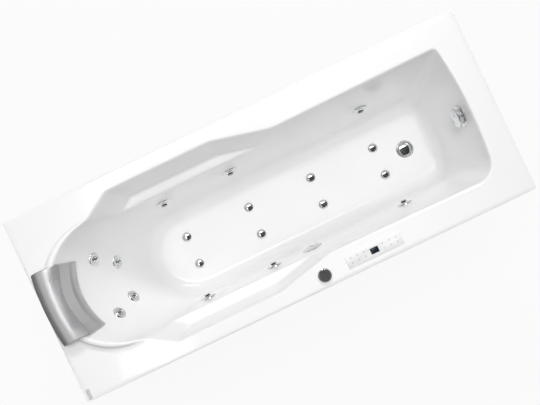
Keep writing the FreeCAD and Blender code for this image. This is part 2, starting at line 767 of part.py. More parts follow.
def base_board_shape():
    """Flat board bonded under the floor, cut out round the drain and the air jets."""
    top = DECK - DEPTH - LAMINATE
    wire = outline(DEPTH, -size("board_inset") - size("floor_edge_radius") / 2)
    board = Part.Face(wire).extrude(Vector(0, 0, -size("board_thickness")))
    board.translate(Vector(0, 0, top - (DECK - DEPTH)))
    cutters = [cylinder(p.Base, Vector(0, 0, 1), size("air_body_radius") + 4, -60, 10) for p in AIR_JET_PLACES]
    cutters.append(cylinder(DRAIN_PLACE.Base, Vector(0, 0, 1), size("drain_body_radius") + 16, -60, 10))
    return board.cut(cutters + screw_shanks(0))


# ---------------------------------------------------------------- frame under the tub

def square_tube(x, y, z, long_axis):
    """Square tube between three (low, high) pairs, open along one axis."""
    wall = size("rail_wall")
    spans = [x, y, z]
    inner = [(low, high) if axis == long_axis else (low + wall, high - wall)
             for axis, (low, high) in zip("xyz", spans)]
    return box(*spans).cut(box(*inner))


def battens_shape():
    """Timber battens glued under the deck along its four edges."""
    top = DECK - WALL
    low = top - size("batten_height")
    wide = size("batten_width")
    ends = END_INSIDE - 1
    sides = SKIRT_INSIDE - 1
    long_ones = [box((-ends, ends), sorted((side * sides, side * (sides - wide))), (low, top))
                 for side in (NEAR, FAR)]
    short_ones = [box(sorted((side * ends, side * (ends - wide))), (-sides + wide, sides - wide), (low, top))
                  for side in (-1, 1)]
    short_ones[0] = short_ones[0].cut(peg_holes())
    return Part.Compound(long_ones + short_ones)


def foot_points():
    return [(x, side * RAIL_Y) for x in (-size("foot_x"), size("foot_x")) for side in (NEAR, FAR)]


def rails_shape():
    """Two long rails, each with its weld nuts' clearance holes."""
    half = size("rail_half_length")
    rails = []
    for side in (NEAR, FAR):
        span = sorted((side * RAIL_OUTSIDE, side * (RAIL_OUTSIDE - RAIL)))
        rail = square_tube((-half, half), span, (RAIL_LOW, CROSS_LOW), "x")
        holes = [cylinder(Vector(x, y, RAIL_LOW), Vector(0, 0, 1), size("foot_stud_radius") + 0.5, -1, 5)
                 for x, y in foot_points() if y * side > 0]
        rails.append(rail.cut(holes))
    return Part.Compound(rails)


def screw_points():
    """Places of the screws that hold the board to the cross bars."""
    points = []
    for name in ("head", "middle", "foot"):
        x = size(f"cross_{name}_x")
        spread = size("board_screw_y") / (2 if name == "head" else 1)
        points += [Vector(x, -spread, CROSS_LOW), Vector(x, spread, CROSS_LOW)]
    return points


def screw_shanks(clearance):
    """Shanks of the board screws, from under the cross bars up into the board."""
    radius = size("board_screw_radius") + clearance
    return [cylinder(point, Vector(0, 0, 1), radius, -1, RAIL + size("board_screw_bite"))
            for point in screw_points()]


def cross_bars_shape():
    """Cross bars that carry the board and lie on the long rails."""
    bars = []
    for name in ("head", "middle", "foot"):
        x = size(f"cross_{name}_x")
        bar = square_tube((x - RAIL / 2, x + RAIL / 2), (-RAIL_OUTSIDE, RAIL_OUTSIDE),
                          (CROSS_LOW, BOARD_UNDERSIDE), "y")
        bars.append(bar.cut(screw_shanks(size("hole_clearance"))))
    return Part.Compound(bars)


def screws_shape():
    """Pan-head screws: a head under the cross bar and a shank up into the board."""
    heads = [cylinder(point, Vector(0, 0, 1), 2 * size("board_screw_radius"), -3, 0) for point in screw_points()]
    return [head.fuse(shank) for head, shank in zip(heads, screw_shanks(0))]


def posts_shape():
    """Posts from the rails up to the battens."""
    thick = size("post_size")
    top = DECK - WALL - size("batten_height")
    posts = []
    for side in (NEAR, FAR):
        for x in (-size("post_x"), 0, size("post_x")):
            span = sorted((side * RAIL_OUTSIDE, side * (RAIL_OUTSIDE - thick)))
            posts.append(square_tube((x - thick / 2, x + thick / 2), span, (CROSS_LOW, top), "z"))
    return Part.Compound(posts)


feature("base_board", base_board_shape())
feature("rim_battens", battens_shape())
feature("frame_rails", rails_shape())
feature("frame_cross_bars", cross_bars_shape())
feature("frame_posts", posts_shape())

shelf = bound("Part::Box", "shelf", Length="shelf_foot_x - shelf_head_x", Height="shelf_thickness")
shelf.Width = 2 * (RAIL_OUTSIDE - size("post_size") - 2)
keep(shelf, "equipment_shelf",
     Placement(Vector(size("shelf_head_x"), -shelf.Width.Value / 2, CROSS_LOW), Rotation()))

# Levelling feet: rubber pad, stud and lock nut move together; the weld nut stays on the rail.
weld_nuts = []
for number, (x, y) in enumerate(foot_points(), start=1):
    nut_low = RAIL_LOW - size("foot_nut_height")
    lock_low = nut_low - size("foot_nut_height")
    bore = size("foot_stud_radius") + RUN
    hexagon = Part.Face(Part.Wire(Part.makePolygon([
        Vector(x + size("foot_nut_radius") * math.cos(math.radians(60 * i)),
               y + size("foot_nut_radius") * math.sin(math.radians(60 * i)), 0) for i in range(7)])))
    nut = hexagon.extrude(Vector(0, 0, size("foot_nut_height")))
    nut = nut.cut(cylinder(Vector(x, y, 0), Vector(0, 0, 1), bore, -1, 20))
    weld_nut = nut.copy()
    weld_nut.translate(Vector(0, 0, nut_low))
    weld_nuts.append(weld_nut)
    lock_nut = nut.copy()
    lock_nut.translate(Vector(0, 0, lock_low))
    pad_high = size("foot_pad_height")
    pad = Part.makeCone(size("foot_pad_radius"), size("foot_pad_radius") * 0.62, pad_high, Vector(x, y, 0))
    pad = pad.cut(cylinder(Vector(x, y, 0), Vector(0, 0, 1), size("foot_stud_radius"), pad_high - 10, pad_high))
    stud = cylinder(Vector(x, y, 0), Vector(0, 0, 1), size("foot_stud_radius"), pad_high - 10, CROSS_LOW - 6)
    feature(f"levelling_foot_{number}", Part.Compound([pad, stud, lock_nut]))
feature("frame_fasteners", Part.Compound(weld_nuts + screws_shape()))


# ---------------------------------------------------------------- side jets

ball_inset = size("jet_ball_inset")
ball = size("jet_ball_radius")
rim_top = size("jet_rim_height")
BALL_GAP = 0.35


def ball_clear(height):
    """Radius that clears the eyeball at a height over the wall."""
    return math.sqrt(ball ** 2 - (height + ball_inset) ** 2) + BALL_GAP


jet_rim = turned("side_jet_rim", [
    ("jet_rim_radius", "0"),
    ("jet_rim_radius", "2.5"),
    ("jet_rim_radius - 2", "jet_rim_height - 1"),
    ("jet_rim_radius - 5", "jet_rim_height"),
    (f"{ball_clear(rim_top):.3f}", "jet_rim_height"),
    (f"{ball_clear(rim_top * 0.4) + 0.3:.3f}", "jet_rim_height * 0.4"),
    (f"{ball + BALL_GAP:.3f}", f"{-ball_inset + 3:.3f}"),
    (f"{ball + BALL_GAP:.3f}", "-19"),
    (f"{ball * 0.72:.3f}", "-19"),
    (f"{ball * 0.72:.3f}", "-24"),
    ("jet_neck_radius", "-24"),
    ("jet_neck_radius", "0"),
])
group("side_jet_rims", jet_rim, JET_PLACES)

jet_body = turned("side_jet_body", [
    ("jet_neck_radius + hole_clearance", f"{-SEAT_BACK}"),
    ("jet_body_radius + 4", f"{-SEAT_BACK}"),
    ("jet_body_radius + 4", f"{-SEAT_BACK - 4}"),
    ("jet_body_radius", f"{-SEAT_BACK - 4}"),
    ("jet_body_radius", "-jet_body_depth"),
    ("9", "-jet_body_depth"),
    ("9", "-jet_body_depth - 16"),
    ("6.5", "-jet_body_depth - 16"),
    ("6.5", "-jet_body_depth + 4"),
    ("jet_neck_radius + hole_clearance", "-jet_body_depth + 4"),
])
group("side_jet_bodies", jet_body, JET_PLACES)

for number, place in enumerate(JET_PLACES, start=1):
    sphere = bound("Part::Sphere", f"jet_ball_{number}", Radius="jet_ball_radius")
    sphere.Angle1 = -45
    snout = bound("Part::Cylinder", f"jet_snout_{number}", Radius="jet_snout_radius")
    snout.setExpression("Height", cells("jet_ball_radius + 3"))
    bore = bound("Part::Cylinder", f"jet_bore_{number}", Radius="jet_bore_radius")
    bore.setExpression("Height", cells("jet_ball_radius * 3"))
    shifted(bore, z="0 - jet_ball_radius")
    nozzle = cut(f"jet_nozzle_{number}", fuse(f"jet_eyeball_{number}", sphere, snout), bore)
    keep(nozzle, f"jet_nozzle_{number}", along(at_height(place, -ball_inset), local_z(place)))


# ---------------------------------------------------------------- back jets

back_rim = turned("back_jet_rim", [
    ("back_jet_radius", "0"),
    ("back_jet_radius", "1.5"),
    ("back_jet_radius - 3", "back_jet_height"),
    ("back_rotor_radius + 2", "back_jet_height"),
    ("back_rotor_radius + 0.4", "back_jet_height - 2"),
    ("back_rotor_radius + 0.4", "-8"),
    ("back_shaft_radius + 0.05", "-8"),
    ("back_shaft_radius + 0.05", "-13"),
    ("back_neck_radius - 2", "-13"),
    ("back_neck_radius - 2", "-22"),
    ("back_neck_radius", "-22"),
    ("back_neck_radius", "0"),
])
back_web = ring_of_holes("back_jet_web", back_rim, 4, "back_rotor_radius * 0.62", "2.5", "-20", "13")
group("back_jet_rims", back_web, BACK_JET_PLACES)

back_body = turned("back_jet_body", [
    ("back_neck_radius + hole_clearance", f"{-SEAT_BACK}"),
    ("back_body_radius + 4", f"{-SEAT_BACK}"),
    ("back_body_radius + 4", f"{-SEAT_BACK - 4}"),
    ("back_body_radius", f"{-SEAT_BACK - 4}"),
    ("back_body_radius", "-back_body_depth"),
    ("0", "-back_body_depth"),
    ("0", "-back_body_depth + 3"),
    ("back_neck_radius + hole_clearance", "-back_body_depth + 3"),
])
group("back_jet_bodies", back_body, BACK_JET_PLACES)

for number, place in enumerate(BACK_JET_PLACES, start=1):
    insert = turned(f"back_rotor_{number}_turned", [
        ("0", "-16"),
        ("back_shaft_radius", "-16"),
        ("back_shaft_radius", "-7.6"),
        ("back_rotor_radius", "-7.6"),
        ("back_rotor_radius", "back_jet_height - 2.5"),
        ("back_rotor_radius * 0.6", "back_jet_height - 0.5"),
        ("0", "back_jet_height"),
    ])
    outlets = ring_of_holes(f"back_rotor_{number}", insert, 2, "back_rotor_radius * 0.58", "2.2", "-20", "30")
    keep(outlets, f"back_jet_rotor_{number}", place)


# ---------------------------------------------------------------- floor air jets

air_cap = turned("air_jet_cap", [
    ("0", "air_jet_height"),
    ("air_jet_radius * 0.55", "air_jet_height - 0.6"),
    ("air_jet_radius * 0.85", "air_jet_height - 2.2"),
    ("air_jet_radius", "1"),
    ("air_jet_radius", "0"),
    ("air_neck_radius", "0"),
    ("air_neck_radius", "-44"),
    ("air_neck_radius - 2", "-44"),
    ("air_neck_radius - 2", "0.8"),
    ("air_jet_radius * 0.72", "0.8"),
    ("air_jet_radius * 0.6", "2"),
    ("0", "2.4"),
])
air_caps = ring_of_holes("air_jet_outlets", air_cap, 6, "air_jet_radius * 0.6", "1", "1", "5")
group("air_jet_caps", air_caps, AIR_JET_PLACES)

AIR_BODY_TOP = -LAMINATE - size("board_thickness") - 0.5
AIR_SPIGOT_END = size("blower_pipe_height") - (DECK - DEPTH) + size("blower_pipe_radius") + 4
air_body = turned("air_jet_body", [
    ("air_neck_radius + hole_clearance", f"{AIR_BODY_TOP}"),
    ("air_body_radius + 8", f"{AIR_BODY_TOP}"),
    ("air_body_radius + 8", f"{AIR_BODY_TOP - 3}"),
    ("air_body_radius", f"{AIR_BODY_TOP - 3}"),
    ("air_body_radius", "-49"),
    ("5.5", "-49"),
    ("5.5", f"{AIR_SPIGOT_END}"),
    ("4", f"{AIR_SPIGOT_END}"),
    ("4", "-46"),
    ("air_neck_radius + hole_clearance", "-46"),
])
group("air_jet_bodies", air_body, AIR_JET_PLACES)


# ---------------------------------------------------------------- suction fitting

suction_body = turned("suction_body_turned", [
    ("suction_neck_radius - 3", "0"),
    ("suction_neck_radius", "0"),
    ("suction_neck_radius", f"{-SEAT_BACK}"),
    ("suction_body_radius + 5", f"{-SEAT_BACK}"),
    ("suction_body_radius + 5", f"{-SEAT_BACK - 4}"),
    ("suction_body_radius", f"{-SEAT_BACK - 4}"),
    ("suction_body_radius", "-suction_body_depth"),
    ("0", "-suction_body_depth"),
    ("0", "-suction_body_depth + 4"),
    ("suction_neck_radius - 3", "-suction_body_depth + 4"),
])
SUCTION_PORT = at_height(SUCTION_PLACE, -size("suction_body_depth") + 22)
SUCTION_PORT_LENGTH = size("suction_port_length")
SUCTION_PORT_END = SUCTION_PORT.z - SUCTION_PORT_LENGTH
doc.recompute()
suction_pipe_radius = size("pump_inlet_radius")
port = cylinder(SUCTION_PORT, Vector(0, 0, -1), suction_pipe_radius - 5, 0, SUCTION_PORT_LENGTH)
port_bore = cylinder(SUCTION_PORT, Vector(0, 0, -1), suction_pipe_radius - 8, 0, SUCTION_PORT_LENGTH + 2)
suction_solid = suction_body.Shape.copy()
suction_solid.Placement = SUCTION_PLACE.multiply(suction_solid.Placement)
cup_space = cylinder(SUCTION_PLACE.Base, local_z(SUCTION_PLACE), size("suction_neck_radius") - 3,
                     -size("suction_body_depth") + 4, 2)
feature("suction_body", suction_solid.fuse(port).cut([port_bore, cup_space]))

grille = turned("suction_grille", [
    ("0", "9"),
    ("suction_radius * 0.45", "8.4"),
    ("suction_radius * 0.85", "6"),
    ("suction_radius", "2.5"),
    ("suction_radius", "0"),
    ("suction_neck_radius - 3.4", "0"),
    ("suction_neck_radius - 3.4", "3.5"),
    ("0", "5.5"),
])
cover = grille
for ring, count in ((0.3, 6), (0.5, 12)):
    cover = ring_of_holes(f"suction_slots_{count}", cover, count, f"suction_radius * {ring}", "2.2", "0", "12")
screw_hole = bound("Part::Cylinder", "suction_screw_hole", Radius="3.1", Height="20")
cover = cut("suction_cover_cut", cover, screw_hole)
keep(cover, "suction_cover", SUCTION_PLACE)

suction_screw = turned("suction_screw_turned", [
    ("0", "10.8"),
    ("4", "10.4"),
    ("5", "9.1"),
    ("3", "9.1"),
    ("3", "0"),
    ("0", "0"),
])
keep(suction_screw, "suction_screw", SUCTION_PLACE)


# ---------------------------------------------------------------- drain, plug and trap

DRAIN_X = size("drain_x")
FLOOR = DECK - DEPTH
DOWN = Vector(0, 0, -1)
UP = Vector(0, 0, 1)
GASKET = size("gasket_thickness")

drain_flange = turned("drain_flange_turned", [
    ("plug_radius + 0.6", "-6"),
    ("plug_radius + 0.6", "1.5"),
    ("plug_radius + 3", "3"),
    ("drain_radius - 3", "2.5"),
    ("drain_radius", "0.8"),
    ("drain_radius", "0"),
    ("drain_neck_radius", "0"),
    ("drain_neck_radius", "-26"),
    ("plug_stem_radius + 0.05", "-26"),
    ("plug_stem_radius + 0.05", "-20"),
    ("drain_neck_radius - 4", "-20"),
    ("drain_neck_radius - 4", "-6"),
])
doc.recompute()
drain_cross = ring_of_holes("drain_flange_cross", drain_flange, 5, "drain_neck_radius * 0.55", "5", "-30", "14")
keep(drain_cross, "drain_flange", DRAIN_PLACE)

drain_plug = turned("drain_plug_turned", [
    ("0", "6"),
    ("plug_radius * 0.6", "5.2"),
    ("plug_radius * 0.92", "3.2"),
    ("plug_radius", "1"),
    ("plug_radius", "-2"),
    ("plug_radius - 3", "-4"),
    ("plug_stem_radius", "-5.5"),
    ("plug_stem_radius", "-38"),
    ("0", "-38"),
])
keep(drain_plug, "drain_plug", DRAIN_PLACE)

gasket_outer = bound("Part::Cylinder", "drain_gasket_outer", Radius="drain_body_radius + 8")
gasket_outer.Height = GASKET
gasket_inner = bound("Part::Cylinder", "drain_gasket_inner", Radius="drain_neck_radius + 0.5")
gasket_inner.Height = GASKET
keep(cut("drain_gasket_ring", gasket_outer, gasket_inner), "drain_gasket",
     Placement(Vector(DRAIN_X, 0, FLOOR - LAMINATE - GASKET), Rotation()))

drain_top = LAMINATE + GASKET
drain_body_turned = turned("drain_body_turned", [
    ("drain_neck_radius + hole_clearance", f"{-drain_top}"),
    ("drain_body_radius + 8", f"{-drain_top}"),
    ("drain_body_radius + 8", f"{-drain_top - 5}"),
    ("drain_body_radius", f"{-drain_top - 5}"),
    ("drain_body_radius", "-80"),
    ("waste_radius", "-80"),
    ("waste_radius", "-122"),
    ("waste_radius - 3", "-122"),
    ("waste_radius - 3", "-76"),
    ("drain_neck_radius + hole_clearance", "-76"),
])
PIPE_RADIUS = size("overflow_pipe_radius")
OVERFLOW_IN = FLOOR - 56
doc.recompute()
drain_solid = drain_body_turned.Shape.copy()
drain_solid.Placement = DRAIN_PLACE.multiply(drain_solid.Placement)
side_port = cylinder(Vector(DRAIN_X, 0, OVERFLOW_IN), Vector(1, 0, 0), PIPE_RADIUS + 3, 10, 62)
side_bore = cylinder(Vector(DRAIN_X, 0, OVERFLOW_IN), Vector(1, 0, 0), PIPE_RADIUS + 0.1, 40, 63)
side_way = cylinder(Vector(DRAIN_X, 0, OVERFLOW_IN), Vector(1, 0, 0), PIPE_RADIUS - 3, 0, 50)
drain_hollow = cylinder(Vector(DRAIN_X, 0, FLOOR), DOWN, size("drain_neck_radius") + size("hole_clearance"), 0, 76)
feature("drain_body", drain_solid.fuse(side_port).cut([drain_hollow, side_bore, side_way]))

trap_wall = size("trap_wall")
trap_radius = size("waste_radius") * 1.9
trap_top = FLOOR - 84
trap_low = 14
waste_start = Vector(DRAIN_X, 0, trap_top - size("waste_radius") - 6)
FOOTWARD = Vector(1, 0, 0)
trap_cup = cylinder(Vector(DRAIN_X, 0, trap_low), UP, trap_radius, 0, trap_top - trap_low)
spigot_start = trap_radius + size("waste_neck")
waste_neck = cylinder(waste_start, FOOTWARD, size("waste_radius") - 1, trap_radius - 4, spigot_start)
waste_tube = cylinder(waste_start, FOOTWARD, size("waste_radius"), spigot_start, size("waste_reach"))
waste_bore = cylinder(waste_start, FOOTWARD, size("waste_radius") - trap_wall,
                      trap_radius - 8, size("waste_reach") + 1)
trap_space = cylinder(Vector(DRAIN_X, 0, trap_low), UP, trap_radius - trap_wall, trap_wall,
                      trap_top - trap_low - trap_wall)
trap_mouth = cylinder(Vector(DRAIN_X, 0, trap_top), DOWN, size("waste_radius") + 0.2, -1, trap_wall + 1)
feature("waste_trap", trap_cup.fuse([waste_neck, waste_tube]).cut([trap_space, waste_bore, trap_mouth]))


# ---------------------------------------------------------------- overflow and plug control

overflow_body_turned = turned("overflow_body_turned", [
    ("overflow_neck_radius - 3", "0"),
    ("overflow_neck_radius", "0"),
    ("overflow_neck_radius", f"{-SEAT_BACK}"),
    ("overflow_body_radius + 6", f"{-SEAT_BACK}"),
    ("overflow_body_radius + 6", f"{-SEAT_BACK - 4}"),
    ("overflow_body_radius", f"{-SEAT_BACK - 4}"),
    ("overflow_body_radius", "-overflow_body_depth"),
    ("spindle_radius + thread_clearance", "-overflow_body_depth"),
    ("spindle_radius + thread_clearance", "-overflow_body_depth + 4"),
    ("overflow_neck_radius - 3", "-overflow_body_depth + 4"),
])
doc.recompute()
overflow_solid = overflow_body_turned.Shape.copy()
overflow_solid.Placement = OVERFLOW_PLACE.multiply(overflow_solid.Placement)
OVERFLOW_PORT = at_height(OVERFLOW_PLACE, -size("overflow_body_depth") + 18)
port_length = size("overflow_body_radius") + 26
down_port = cylinder(OVERFLOW_PORT, DOWN, PIPE_RADIUS + 3, 0, port_length)
down_bore = cylinder(OVERFLOW_PORT, DOWN, PIPE_RADIUS + 0.1, port_length - 20, port_length + 1)
down_way = cylinder(OVERFLOW_PORT, DOWN, PIPE_RADIUS - 3, 0, port_length)
overflow_space = cylinder(OVERFLOW_PLACE.Base, local_z(OVERFLOW_PLACE), size("overflow_neck_radius") - 3,
                          -size("overflow_body_depth") + 4, 2)
spindle_bore = cylinder(OVERFLOW_PLACE.Base, local_z(OVERFLOW_PLACE), size("spindle_radius") + RUN,
                        -size("overflow_body_depth") - 12, 0)
CABLE = size("cable_radius")
CABLE_Y = -(PIPE_RADIUS + 8)
CABLE_TOP = Vector(OVERFLOW_PORT.x, CABLE_Y, OVERFLOW_PORT.z - size("overflow_body_radius") - 4)
cable_boss = cylinder(CABLE_TOP, UP, CABLE + 2, 0, size("overflow_body_radius"))
overflow_solid = overflow_solid.fuse([down_port, cable_boss])
feature("overflow_body", overflow_solid.cut([down_bore, down_way, overflow_space, spindle_bore]))

ring_plate = turned("overflow_ring_turned", [
    ("overflow_neck_radius - 3", "0"),
    ("overflow_radius", "0"),
    ("overflow_radius", "5"),
    ("overflow_radius - 2", "8"),
    ("overflow_radius - 7", "9"),
    ("overflow_radius - 10", "7"),
    ("7.05", "7"),
    ("7.05", "3"),
    ("overflow_neck_radius - 3", "3"),
])
ring_slots = ring_of_holes("overflow_ring_slots", ring_plate, 8, "14", "3.5", "-1", "12")
keep(ring_slots, "overflow_ring", OVERFLOW_PLACE)

knob_turned = turned("overflow_knob_turned", [
    ("0", "30"),
    ("overflow_knob_radius * 0.5", "29.5"),
    ("overflow_knob_radius - 4", "28"),
    ("overflow_knob_radius", "25"),
    ("overflow_knob_radius", "17"),
    ("overflow_knob_radius - 3", "16"),
    ("7", "16"),
    ("7", "0"),
    ("spindle_radius", "0"),
    ("spindle_radius", "-overflow_body_depth - 8"),
    ("0", "-overflow_body_depth - 8"),
])
knob_grip = ring_of_holes("overflow_knob_grip", knob_turned, 12, "overflow_knob_radius - 7", "2.5", "20", "14")
keep(knob_grip, "overflow_knob", OVERFLOW_PLACE)

overflow_route = [
    Vector(OVERFLOW_PORT.x, 0, OVERFLOW_PORT.z - port_length + 19),
    Vector(OVERFLOW_PORT.x, 0, OVERFLOW_IN),
    Vector(DRAIN_X + 43, 0, OVERFLOW_IN),
]
overflow_bend = size("overflow_pipe_bend")
overflow_pipe = swept(overflow_route, PIPE_RADIUS, overflow_bend)
feature("overflow_pipe", overflow_pipe.cut(swept(overflow_route, PIPE_RADIUS - size("pipe_wall"), overflow_bend)))

# The pull cable's sleeve runs beside the overflow pipe from the knob's housing to the drain body.
sleeve_end = math.sqrt(size("drain_body_radius") ** 2 - (PIPE_RADIUS + 8 - CABLE) ** 2) + 0.5
plug_cable_route = [
    CABLE_TOP,
    Vector(CABLE_TOP.x, CABLE_Y, OVERFLOW_IN),
    Vector(DRAIN_X + sleeve_end, CABLE_Y, OVERFLOW_IN),
]
feature("plug_cable", swept(plug_cable_route, CABLE, size("plug_cable_bend")))


# ---------------------------------------------------------------- deck fittings

air_valve = turned("air_valve_turned", [
    ("air_neck_outer_radius + 4", "0"),
    ("air_neck_outer_radius + 4", "1.6"),
    ("6.05", "1.6"),
    ("6.05", "-16"),
    ("air_neck_outer_radius - 3", "-16"),
    ("air_neck_outer_radius - 3", "-50"),
    ("valve_pipe_radius + 0.1", "-50"),
    ("valve_pipe_radius + 0.1", "-70"),
    ("air_neck_outer_radius", "-70"),
    ("air_neck_outer_radius", "0"),
])
keep(air_valve, "air_valve_body", AIR_VALVE_PLACE)

air_knob = turned("air_knob_turned", [
    ("0", "air_knob_height - 1"),
    ("air_knob_radius * 0.6", "air_knob_height - 0.6"),
    ("air_knob_radius - 4", "air_knob_height"),
    ("air_knob_radius - 1", "air_knob_height - 2.5"),
    ("air_knob_radius", "air_knob_height - 6"),
    ("air_knob_radius", "0.4"),
    ("air_neck_outer_radius + 5", "0.4"),
    ("air_neck_outer_radius + 5", "2"),
    ("6", "2"),
    ("6", "-14"),
    ("0", "-14"),
])
notch = bound("Part::Cylinder", "air_knob_notch", Radius="5", Height="air_knob_height")
shifted(notch, "0", "air_knob_radius + 1.5", "3")
keep(cut("air_knob_cut", air_knob, notch), "air_regulator_knob", AIR_VALVE_PLACE)


def plate(length, wide, low, high, radius):
    """Flat plate with rounded corners, centred on the origin."""
    block = box((-length / 2, length / 2), (-wide / 2, wide / 2), (low, high))
    return block.makeFillet(radius, [e for e in block.Edges if e.BoundBox.ZLength > (high - low) * 0.9])


panel_top = size("panel_height")
panel = plate(size("panel_length"), size("panel_width"), 0, panel_top, 3)
panel = panel.fuse(plate(size("panel_body_length"), size("panel_body_width"), -size("panel_body_depth"), 0, 3))
window = box((-size("display_length") / 2, size("display_length") / 2),
             (-size("display_width") / 2, size("display_width") / 2), (panel_top - 1, panel_top + 1))
panel = panel.cut(window)
panel_obj = feature("control_panel", panel)
panel_obj.Placement = PANEL_PLACE
display = plate(size("display_length") - 0.4, size("display_width") - 0.4, panel_top - 1, panel_top + 0.1, 0.5)
display_obj = feature("panel_display", display)
display_obj.Placement = PANEL_PLACE


# ---------------------------------------------------------------- pump

pump_place = Placement(Vector(size("pump_x"), size("pump_flange_y"), size("pump_height")),
                       Rotation(Vector(0, 0, 1), Vector(0, -1, 0)))

volute_turned = turned("volute_turned", [
    ("volute_radius", "0.2"),
    ("volute_radius", "volute_length"),
    ("pump_inlet_radius", "volute_length"),
    ("pump_inlet_radius", "volute_length + pump_inlet_length"),
    ("pump_inlet_radius - 4", "volute_length + pump_inlet_length"),
    ("pump_inlet_radius - 4", "volute_length - volute_wall"),
    ("volute_radius - volute_wall - 4", "volute_length - volute_wall"),
    ("volute_radius - volute_wall - 4", "0.2"),
])
doc.recompute()
volute = volute_turned.Shape.copy()
volute.Placement = pump_place.multiply(volute.Placement)
OUTLET_X = size("water_pipe_head_x")
OUTLET_Y = size("pump_flange_y") - size("volute_length") / 2
OUTLET_TOP = size("pump_height") + size("volute_radius") + 20
outlet_foot = Vector(OUTLET_X, OUTLET_Y, size("pump_height"))
nipple = cylinder(outlet_foot, UP, size("pump_outlet_radius"), 0, OUTLET_TOP - size("pump_height"))
nipple_bore = cylinder(outlet_foot, UP, size("pump_outlet_radius") - 4, 0, OUTLET_TOP - size("pump_height") + 1)
volute_space = cylinder(pump_place.Base, local_z(pump_place),
                        size("volute_radius") - size("volute_wall") - 4, -1,
                        size("volute_length") - size("volute_wall"))
feature("pump_volute", volute.fuse(nipple).cut([nipple_bore, volute_space]))

motor = turned("pump_motor_turned", [
    ("pump_shaft_radius + 0.05", "0"),
    ("volute_radius", "0"),
    ("volute_radius", "-8"),
    ("motor_radius", "-8"),
    ("motor_radius", "-motor_length"),
    ("pump_shaft_radius + 0.05", "-motor_length"),
    ("pump_shaft_radius + 0.05", "-motor_length + 12"),
    ("rotor_core_radius + 1", "-motor_length + 12"),
    ("rotor_core_radius + 1", "-12"),
    ("pump_shaft_radius + 0.05", "-12"),
])
doc.recompute()
motor_solid = motor.Shape.copy()
motor_solid.Placement = pump_place.multiply(motor_solid.Placement)
terminal_half = size("terminal_box")
terminal_top = size("pump_height") + size("motor_radius") + terminal_half
TERMINAL_SIDE = Vector(size("pump_x") + terminal_half, size("terminal_y"), terminal_top - terminal_half / 2)
terminal = box((size("pump_x") - terminal_half, size("pump_x") + terminal_half),
               (size("terminal_y") - terminal_half, size("terminal_y") + terminal_half),
               (size("pump_height") + size("rotor_core_radius") + 10, terminal_top))
feature("pump_motor", motor_solid.fuse(terminal))

rotor = turned("pump_rotor_turned", [
    ("0", "volute_length - volute_wall - 4"),
    ("pump_shaft_radius + 3", "volute_length - volute_wall - 8"),
    ("pump_inlet_radius", "volute_length - volute_wall - 14"),
    ("volute_radius - volute_wall - 12", "18"),
    ("volute_radius - volute_wall - 12", "10"),
    ("pump_shaft_radius", "8"),
    ("pump_shaft_radius", "-20"),
    ("rotor_core_radius", "-20"),
    ("rotor_core_radius", "-motor_length + 20"),
    ("pump_shaft_radius", "-motor_length + 20"),
    ("pump_shaft_radius", "-motor_length - 10"),
    ("fan_radius", "-motor_length - 12"),
    ("fan_radius", "-motor_length - 22"),
    ("0", "-motor_length - 24"),
])
keep(rotor, "pump_rotor", pump_place)

fan_cover = turned("fan_cover_turned", [
    ("motor_radius", "-motor_length"),
    ("motor_radius", "-motor_length - fan_cover_length + 4"),
    ("motor_radius - 6", "-motor_length - fan_cover_length"),
    ("0", "-motor_length - fan_cover_length"),
    ("0", "-motor_length - fan_cover_length + 2.5"),
    ("motor_radius - 7", "-motor_length - fan_cover_length + 2.5"),
    ("motor_radius - 2.5", "-motor_length - fan_cover_length + 6"),
    ("motor_radius - 2.5", "-motor_length"),
])
fan_grille = ring_of_holes("fan_cover_inner", fan_cover, 8, "motor_radius * 0.35", "5",
                           "0 - motor_length - fan_cover_length - 2", "6")
fan_grille = ring_of_holes("fan_cover_outer", fan_grille, 14, "motor_radius * 0.66", "5",
                           "0 - motor_length - fan_cover_length - 2", "6")
keep(fan_grille, "pump_fan_cover", pump_place)

motor_y = size("pump_flange_y") + size("motor_length") / 2
saddle = box((size("pump_x") - 45, size("pump_x") + 45), (motor_y - 60, motor_y + 60),
             (SHELF_TOP, size("pump_height") - size("motor_radius") * 0.6))
saddle_space = cylinder(Vector(size("pump_x"), motor_y, size("pump_height")), Vector(0, 1, 0),
                        size("motor_radius") + 0.1, -80, 80)
feature("pump_base", saddle.cut(saddle_space))


# ---------------------------------------------------------------- water pipes

water = size("water_pipe_radius")
WATER_Y = size("water_pipe_half_width")
WATER_BEND = size("water_pipe_bend")
jet_end = at_height(JET_PLACES[0], -size("jet_body_depth") - 16)
jet_lean = local_z(JET_PLACES[0])
WATER_Z = jet_end.z - jet_lean.z / abs(jet_lean.y) * (WATER_Y - abs(jet_end.y))
water_end = size("jet_foot_x") + 34
water_route = [
    Vector(water_end, NEAR * WATER_Y, WATER_Z),
    Vector(OUTLET_X, NEAR * WATER_Y, WATER_Z),
    Vector(OUTLET_X, FAR * WATER_Y, WATER_Z),
    Vector(water_end, FAR * WATER_Y, WATER_Z),
]


def stub(start, end, radius):
    return Part.makeCylinder(radius, (end - start).Length, start, end - start)


